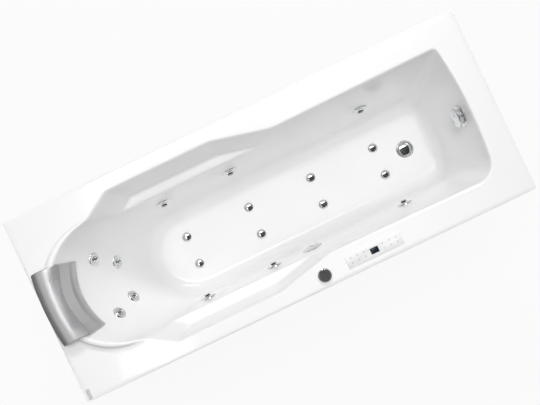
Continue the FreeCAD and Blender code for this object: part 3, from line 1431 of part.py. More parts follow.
def water_pipes_shape():
    """Pressure pipe round the head of the tub, with a branch to the pump and to each jet."""
    wall = size("pipe_wall")
    outer = [swept(water_route, water, WATER_BEND)]
    inner = [swept(water_route, water - wall, WATER_BEND)]
    for side in (NEAR, FAR):
        outer.append(cylinder(Vector(water_end, side * WATER_Y, WATER_Z), Vector(1, 0, 0), water + 2, -6, 3))
    for place in JET_PLACES:
        end = at_height(place, -size("jet_body_depth") - 1)
        on_pipe = end - local_z(place) * ((WATER_Y - abs(end.y)) / abs(local_z(place).y))
        outer.append(stub(on_pipe, end, 11.5))
        inner.append(stub(on_pipe, end - local_z(place) * 14, 6.5))
        inner.append(stub(end - local_z(place) * 15.5, end + local_z(place), 9.1))
    for place in BACK_JET_PLACES:
        tail = at_height(place, -size("back_body_depth"))
        if tail.z > WATER_Z + 60:
            foot = Vector(OUTLET_X, tail.y, WATER_Z)
            outer.append(cylinder(foot, UP, 9, 0, tail.z - WATER_Z + 30))
            inner.append(cylinder(foot, UP, 7, 0, tail.z - WATER_Z + 31))
        else:
            foot = Vector(OUTLET_X, tail.y, WATER_Z)
            outer.append(cylinder(foot, Vector(1, 0, 0), 9, 0, tail.x - OUTLET_X + 30))
            inner.append(cylinder(foot, Vector(1, 0, 0), 7, 0, tail.x - OUTLET_X + 31))
    outlet_top = Vector(OUTLET_X, OUTLET_Y, OUTLET_TOP)
    on_pipe = Vector(OUTLET_X, OUTLET_Y, WATER_Z)
    outer.append(stub(on_pipe, outlet_top, size("pump_outlet_radius")))
    inner.append(stub(on_pipe, outlet_top + DOWN, size("pump_outlet_radius") - 4))
    bodies = [cylinder(p.Base, local_z(p), size("back_body_radius") + 0.2, -size("back_body_depth") - 0.2, 0)
              for p in BACK_JET_PLACES]
    pipes = outer[0].fuse(outer[1:]).cut(inner[0].fuse(inner[1:])).cut(bodies)
    return max(pipes.Solids, key=lambda solid: solid.Volume)


feature("water_pipes", water_pipes_shape())

suction_bend = size("suction_pipe_bend")
inlet_end = at_height(pump_place, size("volute_length") + size("pump_inlet_length"))
suction_route = [
    Vector(SUCTION_PORT.x, SUCTION_PORT.y, SUCTION_PORT_END + 20),
    Vector(SUCTION_PORT.x, SUCTION_PORT.y, size("pump_height")),
    Vector(inlet_end.x, SUCTION_PORT.y, size("pump_height")),
    Vector(inlet_end.x, inlet_end.y - 0.2, size("pump_height")),
]
feature("suction_pipe", swept(suction_route, size("pump_inlet_radius"), suction_bend).cut(
    swept(suction_route, size("pump_inlet_radius") - 4.9, suction_bend)))


# ---------------------------------------------------------------- air pipes

AIR_Y = size("air_pipe_half_width")
AIR_Z = size("air_pipe_height")
AIR_HEAD_X = size("air_pipe_head_x")
air_radius = size("air_pipe_radius")
air_route = [
    Vector(size("jet_foot_x") + 14, NEAR * AIR_Y, AIR_Z),
    Vector(AIR_HEAD_X, NEAR * AIR_Y, AIR_Z),
    Vector(AIR_HEAD_X, FAR * AIR_Y, AIR_Z),
    Vector(size("jet_foot_x") + 14, FAR * AIR_Y, AIR_Z),
]
valve_x = size("air_valve_x")
valve_y = size("air_valve_y")
valve_route = [
    Vector(valve_x, valve_y, DECK - 51),
    Vector(valve_x, valve_y, AIR_Z),
    Vector(valve_x, NEAR * AIR_Y, AIR_Z),
]


def air_pipes_shape():
    """Air pipe from the regulator, round the tub, with a branch down to each side jet."""
    wall = size("pipe_wall")
    runs = (
        (air_route, air_radius, size("air_pipe_bend")),
        (valve_route, size("valve_pipe_radius"), size("valve_pipe_bend")),
    )
    outer = [swept(points, radius, bend) for points, radius, bend in runs]
    inner = [swept(points, radius - wall, bend) for points, radius, bend in runs]
    for side in (NEAR, FAR):
        end = Vector(size("jet_foot_x") + 14, side * AIR_Y, AIR_Z)
        outer.append(cylinder(end, Vector(1, 0, 0), air_radius + 1.5, -4, 3))
    for place in JET_PLACES:
        side = math.copysign(1, place.Base.y)
        foot = Vector(place.Base.x, side * AIR_Y, AIR_Z)
        outer.append(cylinder(foot, DOWN, 6, 0, 50))
        inner.append(cylinder(foot, DOWN, 4, 0, 51))
    bodies = [cylinder(p.Base, local_z(p), size("jet_body_radius") + 0.2, -size("jet_body_depth") - 0.2, 0)
              for p in JET_PLACES]
    pipes = outer[0].fuse(outer[1:]).cut(inner[0].fuse(inner[1:])).cut(bodies)
    return max(pipes.Solids, key=lambda solid: solid.Volume)


feature("air_pipes", air_pipes_shape())


# ---------------------------------------------------------------- blower and its pipes

blower_x = size("blower_x")
blower_y = size("blower_y")
blower_place = Placement(Vector(blower_x, blower_y, SHELF_TOP), Rotation())
housing_turned = turned("blower_housing_turned", [
    ("0", "0"),
    ("blower_radius", "0"),
    ("blower_radius", "blower_height"),
    ("blower_radius - 14", "blower_height"),
    ("blower_radius - 14", "blower_height - blower_wall"),
    ("blower_radius - blower_wall", "blower_height - blower_wall"),
    ("blower_radius - blower_wall", "blower_wall + 8"),
    ("blower_shaft_radius + thread_clearance", "blower_wall + 8"),
    ("blower_shaft_radius + thread_clearance", "blower_wall"),
    ("0", "blower_wall"),
])
doc.recompute()
housing = housing_turned.Shape.copy()
housing.Placement = blower_place.multiply(housing.Placement)
blower_radius = size("blower_radius")
BLOWER_PIPE_Z = SHELF_TOP + 34
spout = cylinder(Vector(blower_x, blower_y, BLOWER_PIPE_Z), Vector(1, 0, 0), 13, blower_radius - 6, blower_radius + 24)
spout_bore = cylinder(Vector(blower_x, blower_y, BLOWER_PIPE_Z), Vector(1, 0, 0), size("blower_pipe_radius") + 0.1,
                      blower_radius - 10, blower_radius + 25)
blower_case = housing.fuse(spout).cut(spout_bore)

blower_rotor = turned("blower_rotor_turned", [
    ("0", "blower_wall + 0.4"),
    ("blower_shaft_radius", "blower_wall + 0.4"),
    ("blower_shaft_radius", "blower_wall + 14"),
    ("blower_radius - 12", "blower_wall + 14"),
    ("blower_radius - 12", "blower_wall + 34"),
    ("26", "blower_wall + 40"),
    ("26", "blower_height - 22"),
    ("blower_shaft_radius", "blower_height - 20"),
    ("blower_shaft_radius", "blower_height - blower_wall + 2"),
    ("0", "blower_height - blower_wall + 2"),
])
keep(blower_rotor, "blower_rotor", blower_place)

blower_lid = turned("blower_lid_turned", [
    ("blower_shaft_radius + thread_clearance", "blower_height - blower_wall + 3.2"),
    ("blower_shaft_radius + thread_clearance", "blower_height - blower_wall - 1"),
    ("12", "blower_height - blower_wall - 1"),
    ("12", "blower_height"),
    ("blower_radius - 2", "blower_height"),
    ("blower_radius - 6", "blower_height + 5"),
    ("12", "blower_height + 7"),
    ("0", "blower_height + 7"),
    ("0", "blower_height - blower_wall + 3.2"),
])
lid_holes = ring_of_holes("blower_lid_holes", blower_lid, 10, "blower_radius * 0.5", "4", "blower_height - 1", "12")
doc.recompute()
blower_top = lid_holes.Shape.copy()
blower_top.Placement = blower_place.multiply(blower_top.Placement)
feature("blower_housing", Part.Compound([blower_case, blower_top]))

PIPE_Z = size("blower_pipe_height")
floor_pipe = size("blower_pipe_radius")
header_x = size("air_jet_first_x") - 180
feed_route = [
    Vector(blower_x + blower_radius + 2, blower_y, BLOWER_PIPE_Z),
    Vector(header_x, blower_y, BLOWER_PIPE_Z),
    Vector(header_x, blower_y, PIPE_Z),
    Vector(header_x, -size("air_jet_y") - floor_pipe - 6, PIPE_Z),
]


def blower_pipes_shape():
    """Pipe from the blower down to a header, and two branches under the floor with a socket at each air jet."""
    wall = size("pipe_wall")
    last = AIR_JET_XS[-1] + 22
    bend = size("blower_pipe_bend")
    outer = [swept(feed_route, floor_pipe, bend)]
    inner = [swept(feed_route[:3] + [feed_route[3] + Vector(0, 6, 0)], floor_pipe - wall, bend)]
    for side in (NEAR, FAR):
        start = Vector(header_x, side * size("air_jet_y"), PIPE_Z)
        outer.append(cylinder(start, Vector(1, 0, 0), floor_pipe, 0, last - header_x))
        inner.append(cylinder(start, Vector(1, 0, 0), floor_pipe - wall, 0, last - header_x - 3))
    for place in AIR_JET_PLACES:
        foot = Vector(place.Base.x, place.Base.y, PIPE_Z)
        outer.append(cylinder(foot, UP, 8.5, 0, floor_pipe + 12))
        inner.append(cylinder(foot, UP, 5.6, floor_pipe + 3.8, floor_pipe + 13))
        inner.append(cylinder(foot, UP, 4, 0, floor_pipe + 5))
    return outer[0].fuse(outer[1:]).cut(inner[0].fuse(inner[1:]))


feature("blower_pipes", blower_pipes_shape())


# ---------------------------------------------------------------- control box and cables

box_x = size("box_x")
box_y = size("box_y")
half_x = size("box_width") / 2
half_y = size("box_length") / 2
box_wall = size("box_wall")
BOX_TOP = SHELF_TOP + size("box_height")
LID_LOW = BOX_TOP - size("box_lid")
GLAND_Z = SHELF_TOP + size("gland_height")
SPAN_X = (box_x - half_x, box_x + half_x)
SPAN_Y = (box_y - half_y, box_y + half_y)
INNER_X = (SPAN_X[0] + box_wall, SPAN_X[1] - box_wall)
INNER_Y = (SPAN_Y[0] + box_wall, SPAN_Y[1] - box_wall)


def gland(across, end, bore):
    """Tube and bore of one cable gland on the near or the far end of the box."""
    face = Vector(box_x + across * size("gland_spread"), box_y + end * half_y, GLAND_Z)
    outwards = Vector(0, end, 0)
    tube = cylinder(face, outwards, size("gland_radius"), -2, size("gland_length"))
    return tube, cylinder(face, outwards, bore, -8, size("gland_length") + 1)


def gland_middle(across, end):
    """Point inside a gland where its cable ends."""
    return Vector(box_x + across * size("gland_spread"), box_y + end * (half_y + size("gland_length") / 2), GLAND_Z)


cable_bore = CABLE + 0.1
glands = [gland(-1, NEAR, size("supply_radius")), gland(1, NEAR, cable_bore),
          gland(-1, FAR, cable_bore), gland(1, FAR, cable_bore)]
case = box(SPAN_X, SPAN_Y, (SHELF_TOP, LID_LOW)).fuse([tube for tube, bore in glands])
case = case.cut([box(INNER_X, INNER_Y, (SHELF_TOP + box_wall, BOX_TOP))] + [bore for tube, bore in glands])
lid = box(SPAN_X, SPAN_Y, (LID_LOW, BOX_TOP))
lid = lid.makeFillet(box_wall, [edge for edge in lid.Edges if edge.BoundBox.ZMin > BOX_TOP - 0.01])
lid = lid.cut(box(INNER_X, INNER_Y, (LID_LOW - 1, BOX_TOP - box_wall)))
feature("control_box", Part.Compound([case, lid]))

panel_gland = gland_middle(1, NEAR)
run_y = NEAR * (size("recess_half_width") + WALL + 20.5)
panel_entry = Vector(size("panel_x") - 60, size("panel_y"), DECK - size("panel_body_depth"))
panel_cable = [
    panel_gland,
    Vector(panel_gland.x, run_y, GLAND_Z),
    Vector(panel_gland.x, run_y, 500),
    Vector(panel_entry.x, run_y, 500),
    Vector(panel_entry.x, run_y, 540),
    Vector(panel_entry.x, panel_entry.y, 562),
    panel_entry,
]
pump_gland = gland_middle(-1, FAR)
pump_cable = [
    pump_gland,
    Vector(pump_gland.x, TERMINAL_SIDE.y, GLAND_Z),
    Vector(pump_gland.x, TERMINAL_SIDE.y, TERMINAL_SIDE.z),
    TERMINAL_SIDE,
]
blower_gland = gland_middle(1, FAR)
fan_end = size("pump_flange_y") + size("motor_length") + size("fan_cover_length")
blower_near = blower_y - math.sqrt(blower_radius ** 2 - CABLE ** 2) - 0.3
corridor = (fan_end + blower_near) / 2
blower_cable = [
    blower_gland,
    Vector(blower_gland.x, corridor, GLAND_Z),
    Vector(blower_x, corridor, GLAND_Z),
    Vector(blower_x, blower_near, GLAND_Z),
]
CABLE_BEND = size("cable_bend")
feature("control_cables", Part.Compound([swept(path, CABLE, CABLE_BEND)
                                         for path in (panel_cable, pump_cable, blower_cable)]))


# ---------------------------------------------------------------- head pillow

def pillow_section(y):
    """Outline of the pillow in a plane across it, drawn oversize below: the tub is cut away later."""
    share = abs(y) / size("pillow_outer_half")
    back = size("pillow_back_x") + size("pillow_back_bow") * share ** 2
    nose = size("pillow_nose_x") + size("pillow_nose_bow") * share ** 2
    crown = size("pillow_top") * (1 - 0.10 * share ** 2)
    crown_x = back + size("pillow_crown_x")
    drop = size("pillow_drop")
    return [
        Vector(back, y, DECK - 30),
        Vector(back, y, DECK + crown * 0.30),
        Vector(between(back, crown_x, 0.17), y, DECK + crown * 0.72),
        Vector(between(back, crown_x, 0.60), y, DECK + crown * 0.97),
        Vector(crown_x, y, DECK + crown),
        Vector(between(crown_x, nose, 0.40), y, DECK + crown * 0.78),
        Vector(nose - 22, y, DECK - drop * 0.30),
        Vector(nose - 4, y, DECK - drop * 0.66),
        Vector(nose, y, DECK - drop * 0.84),
        Vector(nose - 5, y, DECK - drop),
        Vector(nose - 60, y, DECK - drop - 60),
    ]


def pillow_wire(y):
    p = pillow_section(y)
    edges = [
        Part.LineSegment(p[0], p[1]),
        Part.Arc(p[1], p[2], p[3]),
        Part.Arc(p[3], p[4], p[5]),
        Part.LineSegment(p[5], p[6]),
        Part.Arc(p[6], p[7], p[8]),
        Part.LineSegment(p[8], p[9]),
        Part.LineSegment(p[9], p[10]),
        Part.LineSegment(p[10], p[0]),
    ]
    return Part.Wire([edge.toShape() for edge in edges])


def pillow_shape():
    """Moulded pillow that lies over the head ridge and turns down onto the backrest."""
    half = size("pillow_outer_half")
    form = Part.makeLoft([pillow_wire(half * share) for share in (-1, -0.5, 0, 0.5, 1)], True, False)
    gap = size("pillow_gap")
    # Its ends bow out a little and come closer together towards the basin.
    back = size("pillow_back_x")
    nose = size("pillow_nose_x") + size("pillow_nose_bow")
    inner = size("pillow_inner_half")
    spare = half
    for side in (NEAR, FAR):
        outer_corner = Vector(back, side * half, 0)
        inner_corner = Vector(nose, side * inner, 0)
        bowed = (outer_corner + inner_corner) / 2 + Vector(0, side * size("pillow_end_bow"), 0)
        round_it = [
            inner_corner,
            Vector(nose + spare, side * inner, 0),
            Vector(nose + spare, side * (half + spare), 0),
            Vector(back - spare, side * (half + spare), 0),
            Vector(back - spare, side * half, 0),
            outer_corner,
        ]
        end = Part.Wire([Part.Arc(outer_corner, bowed, inner_corner).toShape()]
                        + [Part.makeLine(a, b) for a, b in zip(round_it, round_it[1:])])
        wedge = Part.Face(end).extrude(Vector(0, 0, 2 * DECK))
        form = form.cut(wedge)
    ground = box(ALONG, ACROSS, (0, DECK + gap)).fuse(ridge(gap)).cut(basin(-gap))
    body = max(form.cut(ground).Solids, key=lambda solid: solid.Volume)
    pegs = [cylinder(point, UP, size("peg_radius"), -size("peg_length"), 20) for point in PEG_POINTS]
    return body.fuse(pegs)


feature("pillow", pillow_shape())


# ---------------------------------------------------------------- checks and files

doc.recompute()
for obj in doc.Objects:
    if "Invalid" in obj.State or "Error" in obj.State:
        raise ValueError(f"{obj.Label} didn't recompute")
for obj in SUBPARTS:
    if obj.Shape.isNull() or not obj.Shape.isValid():
        raise ValueError(f"{obj.Label} has no valid shape")

os.makedirs("parts", exist_ok=True)
for obj in SUBPARTS:
    obj.Shape.exportStep(f"parts/{obj.Label}.step")
print(len(SUBPARTS), "pieces")

for name, places in (("side_jet", JET_PLACES), ("back_jet", BACK_JET_PLACES),
                     ("overflow", [OVERFLOW_PLACE]), ("suction", [SUCTION_PLACE])):
    for number, place in enumerate(places, start=1):
        normal = local_z(place)
        print(name, number, [round(c, 3) for c in place.Base], [round(c, 5) for c in normal])
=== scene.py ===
# %% [markdown]
# # A jetted bathtub
#
# The tub is a thin white acrylic sheet drawn down into a basin, with chrome fittings in its walls, a soft
# grey pillow at its head and a steel frame with its pump and pipes below.  The CAD model says where each
# piece is.  This lesson gives each of them the form and finish that the eye expects.

# %% Load the frame
import json
import math

import bmesh
import bpy
import numpy as np
from mathutils import Matrix, Vector


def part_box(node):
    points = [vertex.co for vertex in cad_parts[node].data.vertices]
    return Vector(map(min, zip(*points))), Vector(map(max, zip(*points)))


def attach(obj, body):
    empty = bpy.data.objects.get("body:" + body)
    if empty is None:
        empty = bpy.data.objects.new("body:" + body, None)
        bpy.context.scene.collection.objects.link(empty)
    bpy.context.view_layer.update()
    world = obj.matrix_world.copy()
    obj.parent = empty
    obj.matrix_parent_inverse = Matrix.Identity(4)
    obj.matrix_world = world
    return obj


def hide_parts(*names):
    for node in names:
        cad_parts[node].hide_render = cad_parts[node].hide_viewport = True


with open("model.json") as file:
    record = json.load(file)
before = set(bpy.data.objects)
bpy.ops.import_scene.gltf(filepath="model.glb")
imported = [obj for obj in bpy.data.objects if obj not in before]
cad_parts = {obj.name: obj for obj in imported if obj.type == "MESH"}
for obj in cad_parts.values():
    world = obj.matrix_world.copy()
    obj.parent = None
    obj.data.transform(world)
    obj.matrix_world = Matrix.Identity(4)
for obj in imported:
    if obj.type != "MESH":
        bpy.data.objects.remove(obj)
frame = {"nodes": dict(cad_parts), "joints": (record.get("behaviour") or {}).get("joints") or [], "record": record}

NODES = frame["nodes"]
JOINTS = {joint["name"]: joint for joint in frame["joints"]}
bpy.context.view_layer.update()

# %% [markdown]
# ## Camera
#
# The photograph looks straight down with a long lens, turned about a quarter right angle, and its
# verticals stay parallel.  A tilted camera would make the far edge shorter than the near one, so this one
# looks straight down as well and its shift moves the frame, as a view camera does.

# %% The camera over the tub
camera_data = bpy.data.cameras.new("camera")
camera = bpy.data.objects.new("camera", camera_data)
bpy.context.scene.collection.objects.link(camera)
camera.location = (0, -0.247, 4.100)
camera.rotation_euler = (0, 0, math.radians(-25.56))
camera_data.sensor_width = 36
camera_data.lens = 66.35
camera_data.shift_x = -0.055
camera_data.shift_y = 0.123
camera_data.clip_end = 50
bpy.context.scene.camera = camera
print("camera at", tuple(camera.location), "lens", camera_data.lens)

# %% [markdown]
# ## Light
#
# A soft source over the far side shapes the walls, and one straight above lights the floor of the basin.
# The world is bright overhead and dim at its horizon, so surfaces that lean over turn darker.  Chrome only
# looks like chrome when it has something dark to mirror, so one dark card hangs overhead and one stands
# beyond the head, where only reflections can see them.

# %% Lamps and world
def link(obj):
    """Puts an object in the scene."""
    bpy.context.scene.collection.objects.link(obj)
    return obj


def soft_light(name, place, aim, width, length, power):
    """Rectangular area lamp that points at a place."""
    data = bpy.data.lights.new(name, "AREA")
    data.shape = "RECTANGLE"
    data.size = width
    data.size_y = length
    data.energy = power
    lamp = link(bpy.data.objects.new(name, data))
    lamp.location = place
    lamp.rotation_euler = (Vector(aim) - Vector(place)).to_track_quat("-Z", "Y").to_euler()
    return lamp


soft_light("key_light", place=(2.2, 6.6, 6.3), aim=(0, 0, 0.5), width=2.8, length=2.0, power=255)
soft_light("top_light", place=(0.25, 0.9, 9.0), aim=(0, 0, 0.3), width=4.6, length=4.6, power=290)


WHITE = (1, 1, 1, 1)


def add(tree, kind, values=None, **settings):
    """One node in a tree, with its settings; each value of an input is plain or a socket to link."""
    made = tree.nodes.new(kind)
    for name, value in settings.items():
        setattr(made, name, value)
    for name, value in (values or {}).items():
        if isinstance(value, bpy.types.NodeSocket):
            tree.links.new(value, made.inputs[name])
        else:
            made.inputs[name].default_value = value
    return made


HORIZON_LIGHT = 0.03
OVERHEAD_LIGHT = 0.56
world = bpy.data.worlds.new("studio")
bpy.context.scene.world = world
world.use_nodes = True
sky = world.node_tree
sky.nodes.clear()
rays = add(sky, "ShaderNodeLightPath").outputs
seen = add(sky, "ShaderNodeMath", {0: rays["Is Camera Ray"], 1: rays["Is Transmission Ray"]},
           operation="MAXIMUM")
way = add(sky, "ShaderNodeSeparateXYZ", {0: add(sky, "ShaderNodeTexCoord").outputs["Generated"]})
height = add(sky, "ShaderNodeMapRange", {"Value": way.outputs["Z"], "From Min": -0.1, "From Max": 0.9,
                                         "To Min": HORIZON_LIGHT, "To Max": OVERHEAD_LIGHT})
fill = add(sky, "ShaderNodeBackground", {"Color": WHITE, "Strength": height.outputs["Result"]})
backdrop = add(sky, "ShaderNodeBackground", {"Color": WHITE, "Strength": 1.0})
choice = add(sky, "ShaderNodeMixShader", {0: seen.outputs[0], 1: fill.outputs[0], 2: backdrop.outputs[0]})
add(sky, "ShaderNodeOutputWorld", {"Surface": choice.outputs[0]})
bpy.context.scene.view_settings.view_transform = "Standard"

card_paint = bpy.data.materials.new("dark_card")
card_paint.use_nodes = True
card_paint.node_tree.nodes["Principled BSDF"].inputs["Base Color"].default_value = (0.02, 0.02, 0.02, 1)


def dark_card(name, corners):
    """Card that only reflections see."""
    mesh = bpy.data.meshes.new(name)
    mesh.from_pydata(corners, [], [(0, 1, 2, 3)])
    mesh.materials.append(card_paint)
    card = link(bpy.data.objects.new(name, mesh))
    card.visible_camera = False
    card.visible_diffuse = False
    card.visible_shadow = False
    card.visible_transmission = False


dark_card("card_overhead", [(-0.95, -2.4, 4.4), (3.0, -2.4, 4.4), (3.0, 1.0, 4.4), (-0.95, 1.0, 4.4)])
dark_card("card_at_head", [(-1.25, -0.9, 0), (-1.25, 0.9, 0), (-1.25, 0.9, 0.95), (-1.25, -0.9, 0.95)])

# %% [markdown]
# ## Shared effects
#
# Most finishes need the same few things: a colour that drifts a little, a fine bump, rubbed edges and
# dust on top.  Each is a node group with its own inputs, built once and placed in each material.

# %% Group helpers
def new_group(name, inputs, outputs):
    """Empty shader group; inputs are (name, kind, value) and outputs are (name, kind)."""
    tree = bpy.data.node_groups.new(name, "ShaderNodeTree")
    for label, kind, value in inputs:
        socket = tree.interface.new_socket(label, in_out="INPUT", socket_type="NodeSocket" + kind)
        socket.default_value = value
    for label, kind in outputs:
        tree.interface.new_socket(label, in_out="OUTPUT", socket_type="NodeSocket" + kind)
    start = add(tree, "NodeGroupInput")
    end = add(tree, "NodeGroupOutput")
    return tree, start, end


def object_place(tree):
    """Place of the shaded point on its own object."""
    return add(tree, "ShaderNodeTexCoord").outputs["Object"]


def noise(tree, vector, scale, detail):
    """Noise on a vector."""
    values = {"Vector": vector, "Scale": scale, "Detail": detail, "Roughness": 0.55}
    return add(tree, "ShaderNodeTexNoise", values).outputs["Fac"]


def ranged(tree, value, low, high, to_low=0.0, to_high=1.0):
    """Value stretched from one range to another and held inside it."""
    values = {"Value": value, "From Min": low, "From Max": high, "To Min": to_low, "To Max": to_high}
    return add(tree, "ShaderNodeMapRange", values).outputs["Result"]


def calculated(tree, operation, first, second):
    """Math node on two values."""
    return add(tree, "ShaderNodeMath", {0: first, 1: second}, operation=operation).outputs[0]


def opaque(value):
    """A colour with its fourth channel; any other value as it is."""
    return (*value, 1) if isinstance(value, tuple) else value


def mixed(tree, factor, first, second):
    """Colour mix."""
    values = {"Factor": factor, 6: opaque(first), 7: opaque(second)}
    return add(tree, "ShaderNodeMix", values, data_type="RGBA").outputs[2]


def bumped(tree, height, strength, distance):
    """Normal of a bump from a height."""
    values = {"Height": height, "Strength": strength, "Distance": distance}
    return add(tree, "ShaderNodeBump", values).outputs["Normal"]


print("helpers ready")

# %% Drift, bump, rubbed edges and dust
DRIFT, start, end = new_group(
    "colour_drift",
    [("Colour", "Color", WHITE), ("Other", "Color", WHITE),
     ("Scale", "Float", 5.0), ("Contrast", "Float", 0.5)],
    [("Colour", "Color"), ("Mask", "Float")])
broad = noise(DRIFT, object_place(DRIFT), start.outputs["Scale"], detail=4.0)
spread = ranged(DRIFT, broad, 0.35, 0.65)
amount = calculated(DRIFT, "MULTIPLY", spread, start.outputs["Contrast"])
DRIFT.links.new(mixed(DRIFT, amount, start.outputs["Colour"], start.outputs["Other"]), end.inputs["Colour"])
DRIFT.links.new(spread, end.inputs["Mask"])

FINE_BUMP, start, end = new_group(
    "fine_bump",
    [("Scale", "Float", 400.0), ("Strength", "Float", 0.2), ("Distance", "Float", 0.0004)],
    [("Normal", "Vector"), ("Height", "Float")])
grain = noise(FINE_BUMP, object_place(FINE_BUMP), start.outputs["Scale"], detail=2.0)
bump = bumped(FINE_BUMP, grain, start.outputs["Strength"], start.outputs["Distance"])
FINE_BUMP.links.new(bump, end.inputs["Normal"])
FINE_BUMP.links.new(grain, end.inputs["Height"])

RUBBED, start, end = new_group(
    "rubbed_edges",
    [("Radius", "Float", 0.002), ("Scale", "Float", 60.0), ("Amount", "Float", 0.5)],
    [("Mask", "Float")])
rounded = add(RUBBED, "ShaderNodeBevel", {"Radius": start.outputs["Radius"]}, samples=4)
flat = add(RUBBED, "ShaderNodeNewGeometry").outputs["Normal"]
likeness = add(RUBBED, "ShaderNodeVectorMath", {0: rounded.outputs["Normal"], 1: flat},
               operation="DOT_PRODUCT")
edge = ranged(RUBBED, likeness.outputs["Value"], 0.98, 0.80)
patchy = ranged(RUBBED, noise(RUBBED, object_place(RUBBED), start.outputs["Scale"], detail=5.0), 0.42, 0.62)
worn = calculated(RUBBED, "MULTIPLY", edge, patchy)
RUBBED.links.new(calculated(RUBBED, "MULTIPLY", worn, start.outputs["Amount"]), end.inputs["Mask"])

DUST, start, end = new_group(
    "settled_dust",
    [("Colour", "Color", WHITE), ("Dust", "Color", (0.62, 0.60, 0.56, 1)), ("Amount", "Float", 0.3)],
    [("Colour", "Color"), ("Mask", "Float")])
facing = add(DUST, "ShaderNodeSeparateXYZ", {0: add(DUST, "ShaderNodeNewGeometry").outputs["Normal"]})
upward = ranged(DUST, facing.outputs["Z"], 0.55, 0.95)
cloud = ranged(DUST, noise(DUST, object_place(DUST), 22.0, detail=6.0), 0.35, 0.70)
settled = calculated(DUST, "MULTIPLY", calculated(DUST, "MULTIPLY", upward, cloud), start.outputs["Amount"])
DUST.links.new(mixed(DUST, settled, start.outputs["Colour"], start.outputs["Dust"]), end.inputs["Colour"])
DUST.links.new(settled, end.inputs["Mask"])
print("shared groups", [g.name for g in bpy.data.node_groups])


# %% Placing a group in a material
def placed(tree, group, **values):
    """Outputs of a group in a tree; each value is a number, a colour or a socket."""
    values = {name: opaque(value) for name, value in values.items()}
    return add(tree, "ShaderNodeGroup", values, node_tree=group).outputs


def finish_named(name, **sockets):
    """New material with one Principled shader; the sockets' plain values are set on it."""
    material = bpy.data.materials.new(name)
    material.use_nodes = True
    tree = material.node_tree
    shader = tree.nodes["Principled BSDF"]
    for socket, value in sockets.items():
        shader.inputs[socket.replace("_", " ")].default_value = opaque(value)
    return material, tree, shader.inputs


FINISHES = {}


def moulded(slot, colour, other, rough, bump_scale=900.0, bump=0.15,
            dust=0.0, wear=0.0, worn=None, **sockets):
    """Plastic, rubber or paint: drifting colour, fine bump, and dust and rubbed edges where asked."""
    material, tree, shader = finish_named(slot, **sockets)
    tone = placed(tree, DRIFT, Colour=colour, Other=other, Scale=7.0, Contrast=0.8)
    surface = tone["Colour"]
    if wear:
        mask = placed(tree, RUBBED, Radius=0.0015, Scale=90.0, Amount=wear)["Mask"]
        surface = mixed(tree, mask, surface, worn)
    if dust:
        surface = placed(tree, DUST, Colour=surface, Amount=dust)["Colour"]
    tree.links.new(surface, shader["Base Color"])
    tree.links.new(ranged(tree, tone["Mask"], 0, 1, rough * 0.85, rough * 1.15), shader["Roughness"])
    tree.links.new(placed(tree, FINE_BUMP, Scale=bump_scale, Strength=bump, Distance=0.0003)["Normal"],
                   shader["Normal"])
    FINISHES[slot] = material


print("moulded finish ready")

# %% [markdown]
# ## Acrylic and what backs it
#
# Sanitary acrylic is a deep gloss white.  Its surface is never quite flat after forming, which a very weak,
# broad bump shows as slightly wandering reflections.  The back is sprayed with chopped glass in resin, so
# it is rough, yellowish and full of short strands, and the board under the floor is pressed flakes.

# %% Acrylic
material, tree, shader = finish_named(
    "acrylic", Coat_Weight=0.35, Coat_Roughness=0.04, IOR=1.49)
tone = placed(tree, DRIFT, Colour=(0.93, 0.93, 0.93), Other=(0.91, 0.91, 0.91), Scale=2.2, Contrast=0.5)
tree.links.new(tone["Colour"], shader["Base Color"])
tree.links.new(ranged(tree, tone["Mask"], 0, 1, 0.16, 0.22), shader["Roughness"])
ripple = placed(tree, FINE_BUMP, Scale=55.0, Strength=0.05, Distance=0.0004)
tree.links.new(ripple["Normal"], shader["Normal"])
FINISHES["acrylic"] = material

# %% Laminate, board and timber
def strands(tree, scale):
    """Short crossing fibres: thin ridges of three stretched noises, each turned its own way."""
    place = object_place(tree)
    total = None
    for turn in (0.3, 1.4, 2.5):
        mapping = add(tree, "ShaderNodeMapping",
                      {"Vector": place, "Rotation": (turn, turn * 0.7, turn), "Scale": (1, 9, 9)})
        ridge = ranged(tree, noise(tree, mapping.outputs[0], scale, detail=1.0), 0.52, 0.60)
        total = ridge if total is None else calculated(tree, "MAXIMUM", total, ridge)
    return total


material, tree, shader = finish_named("laminate", Coat_Weight=0.2)
fibre = strands(tree, 26.0)
tone = placed(tree, DRIFT, Colour=(0.66, 0.63, 0.50), Other=(0.55, 0.52, 0.40), Scale=9.0, Contrast=0.9)
tree.links.new(mixed(tree, fibre, tone["Colour"], (0.80, 0.79, 0.71)), shader["Base Color"])
tree.links.new(ranged(tree, fibre, 0, 1, 0.38, 0.62), shader["Roughness"])
tree.links.new(bumped(tree, fibre, 0.6, 0.0006), shader["Normal"])
FINISHES["laminate"] = material

material, tree, shader = finish_named("board")
flake = add(tree, "ShaderNodeTexVoronoi",
            {"Vector": object_place(tree), "Scale": 180.0, "Randomness": 1.0})
shade = add(tree, "ShaderNodeSeparateColor", {0: flake.outputs["Color"]})
chips = mixed(tree, shade.outputs[0], (0.46, 0.31, 0.17), (0.66, 0.50, 0.32))
tree.links.new(placed(tree, DUST, Colour=chips, Amount=0.4)["Colour"], shader["Base Color"])
tree.links.new(ranged(tree, shade.outputs[1], 0, 1, 0.65, 0.9), shader["Roughness"])
tree.links.new(bumped(tree, shade.outputs[2], 0.3, 0.0004), shader["Normal"])
FINISHES["board"] = material

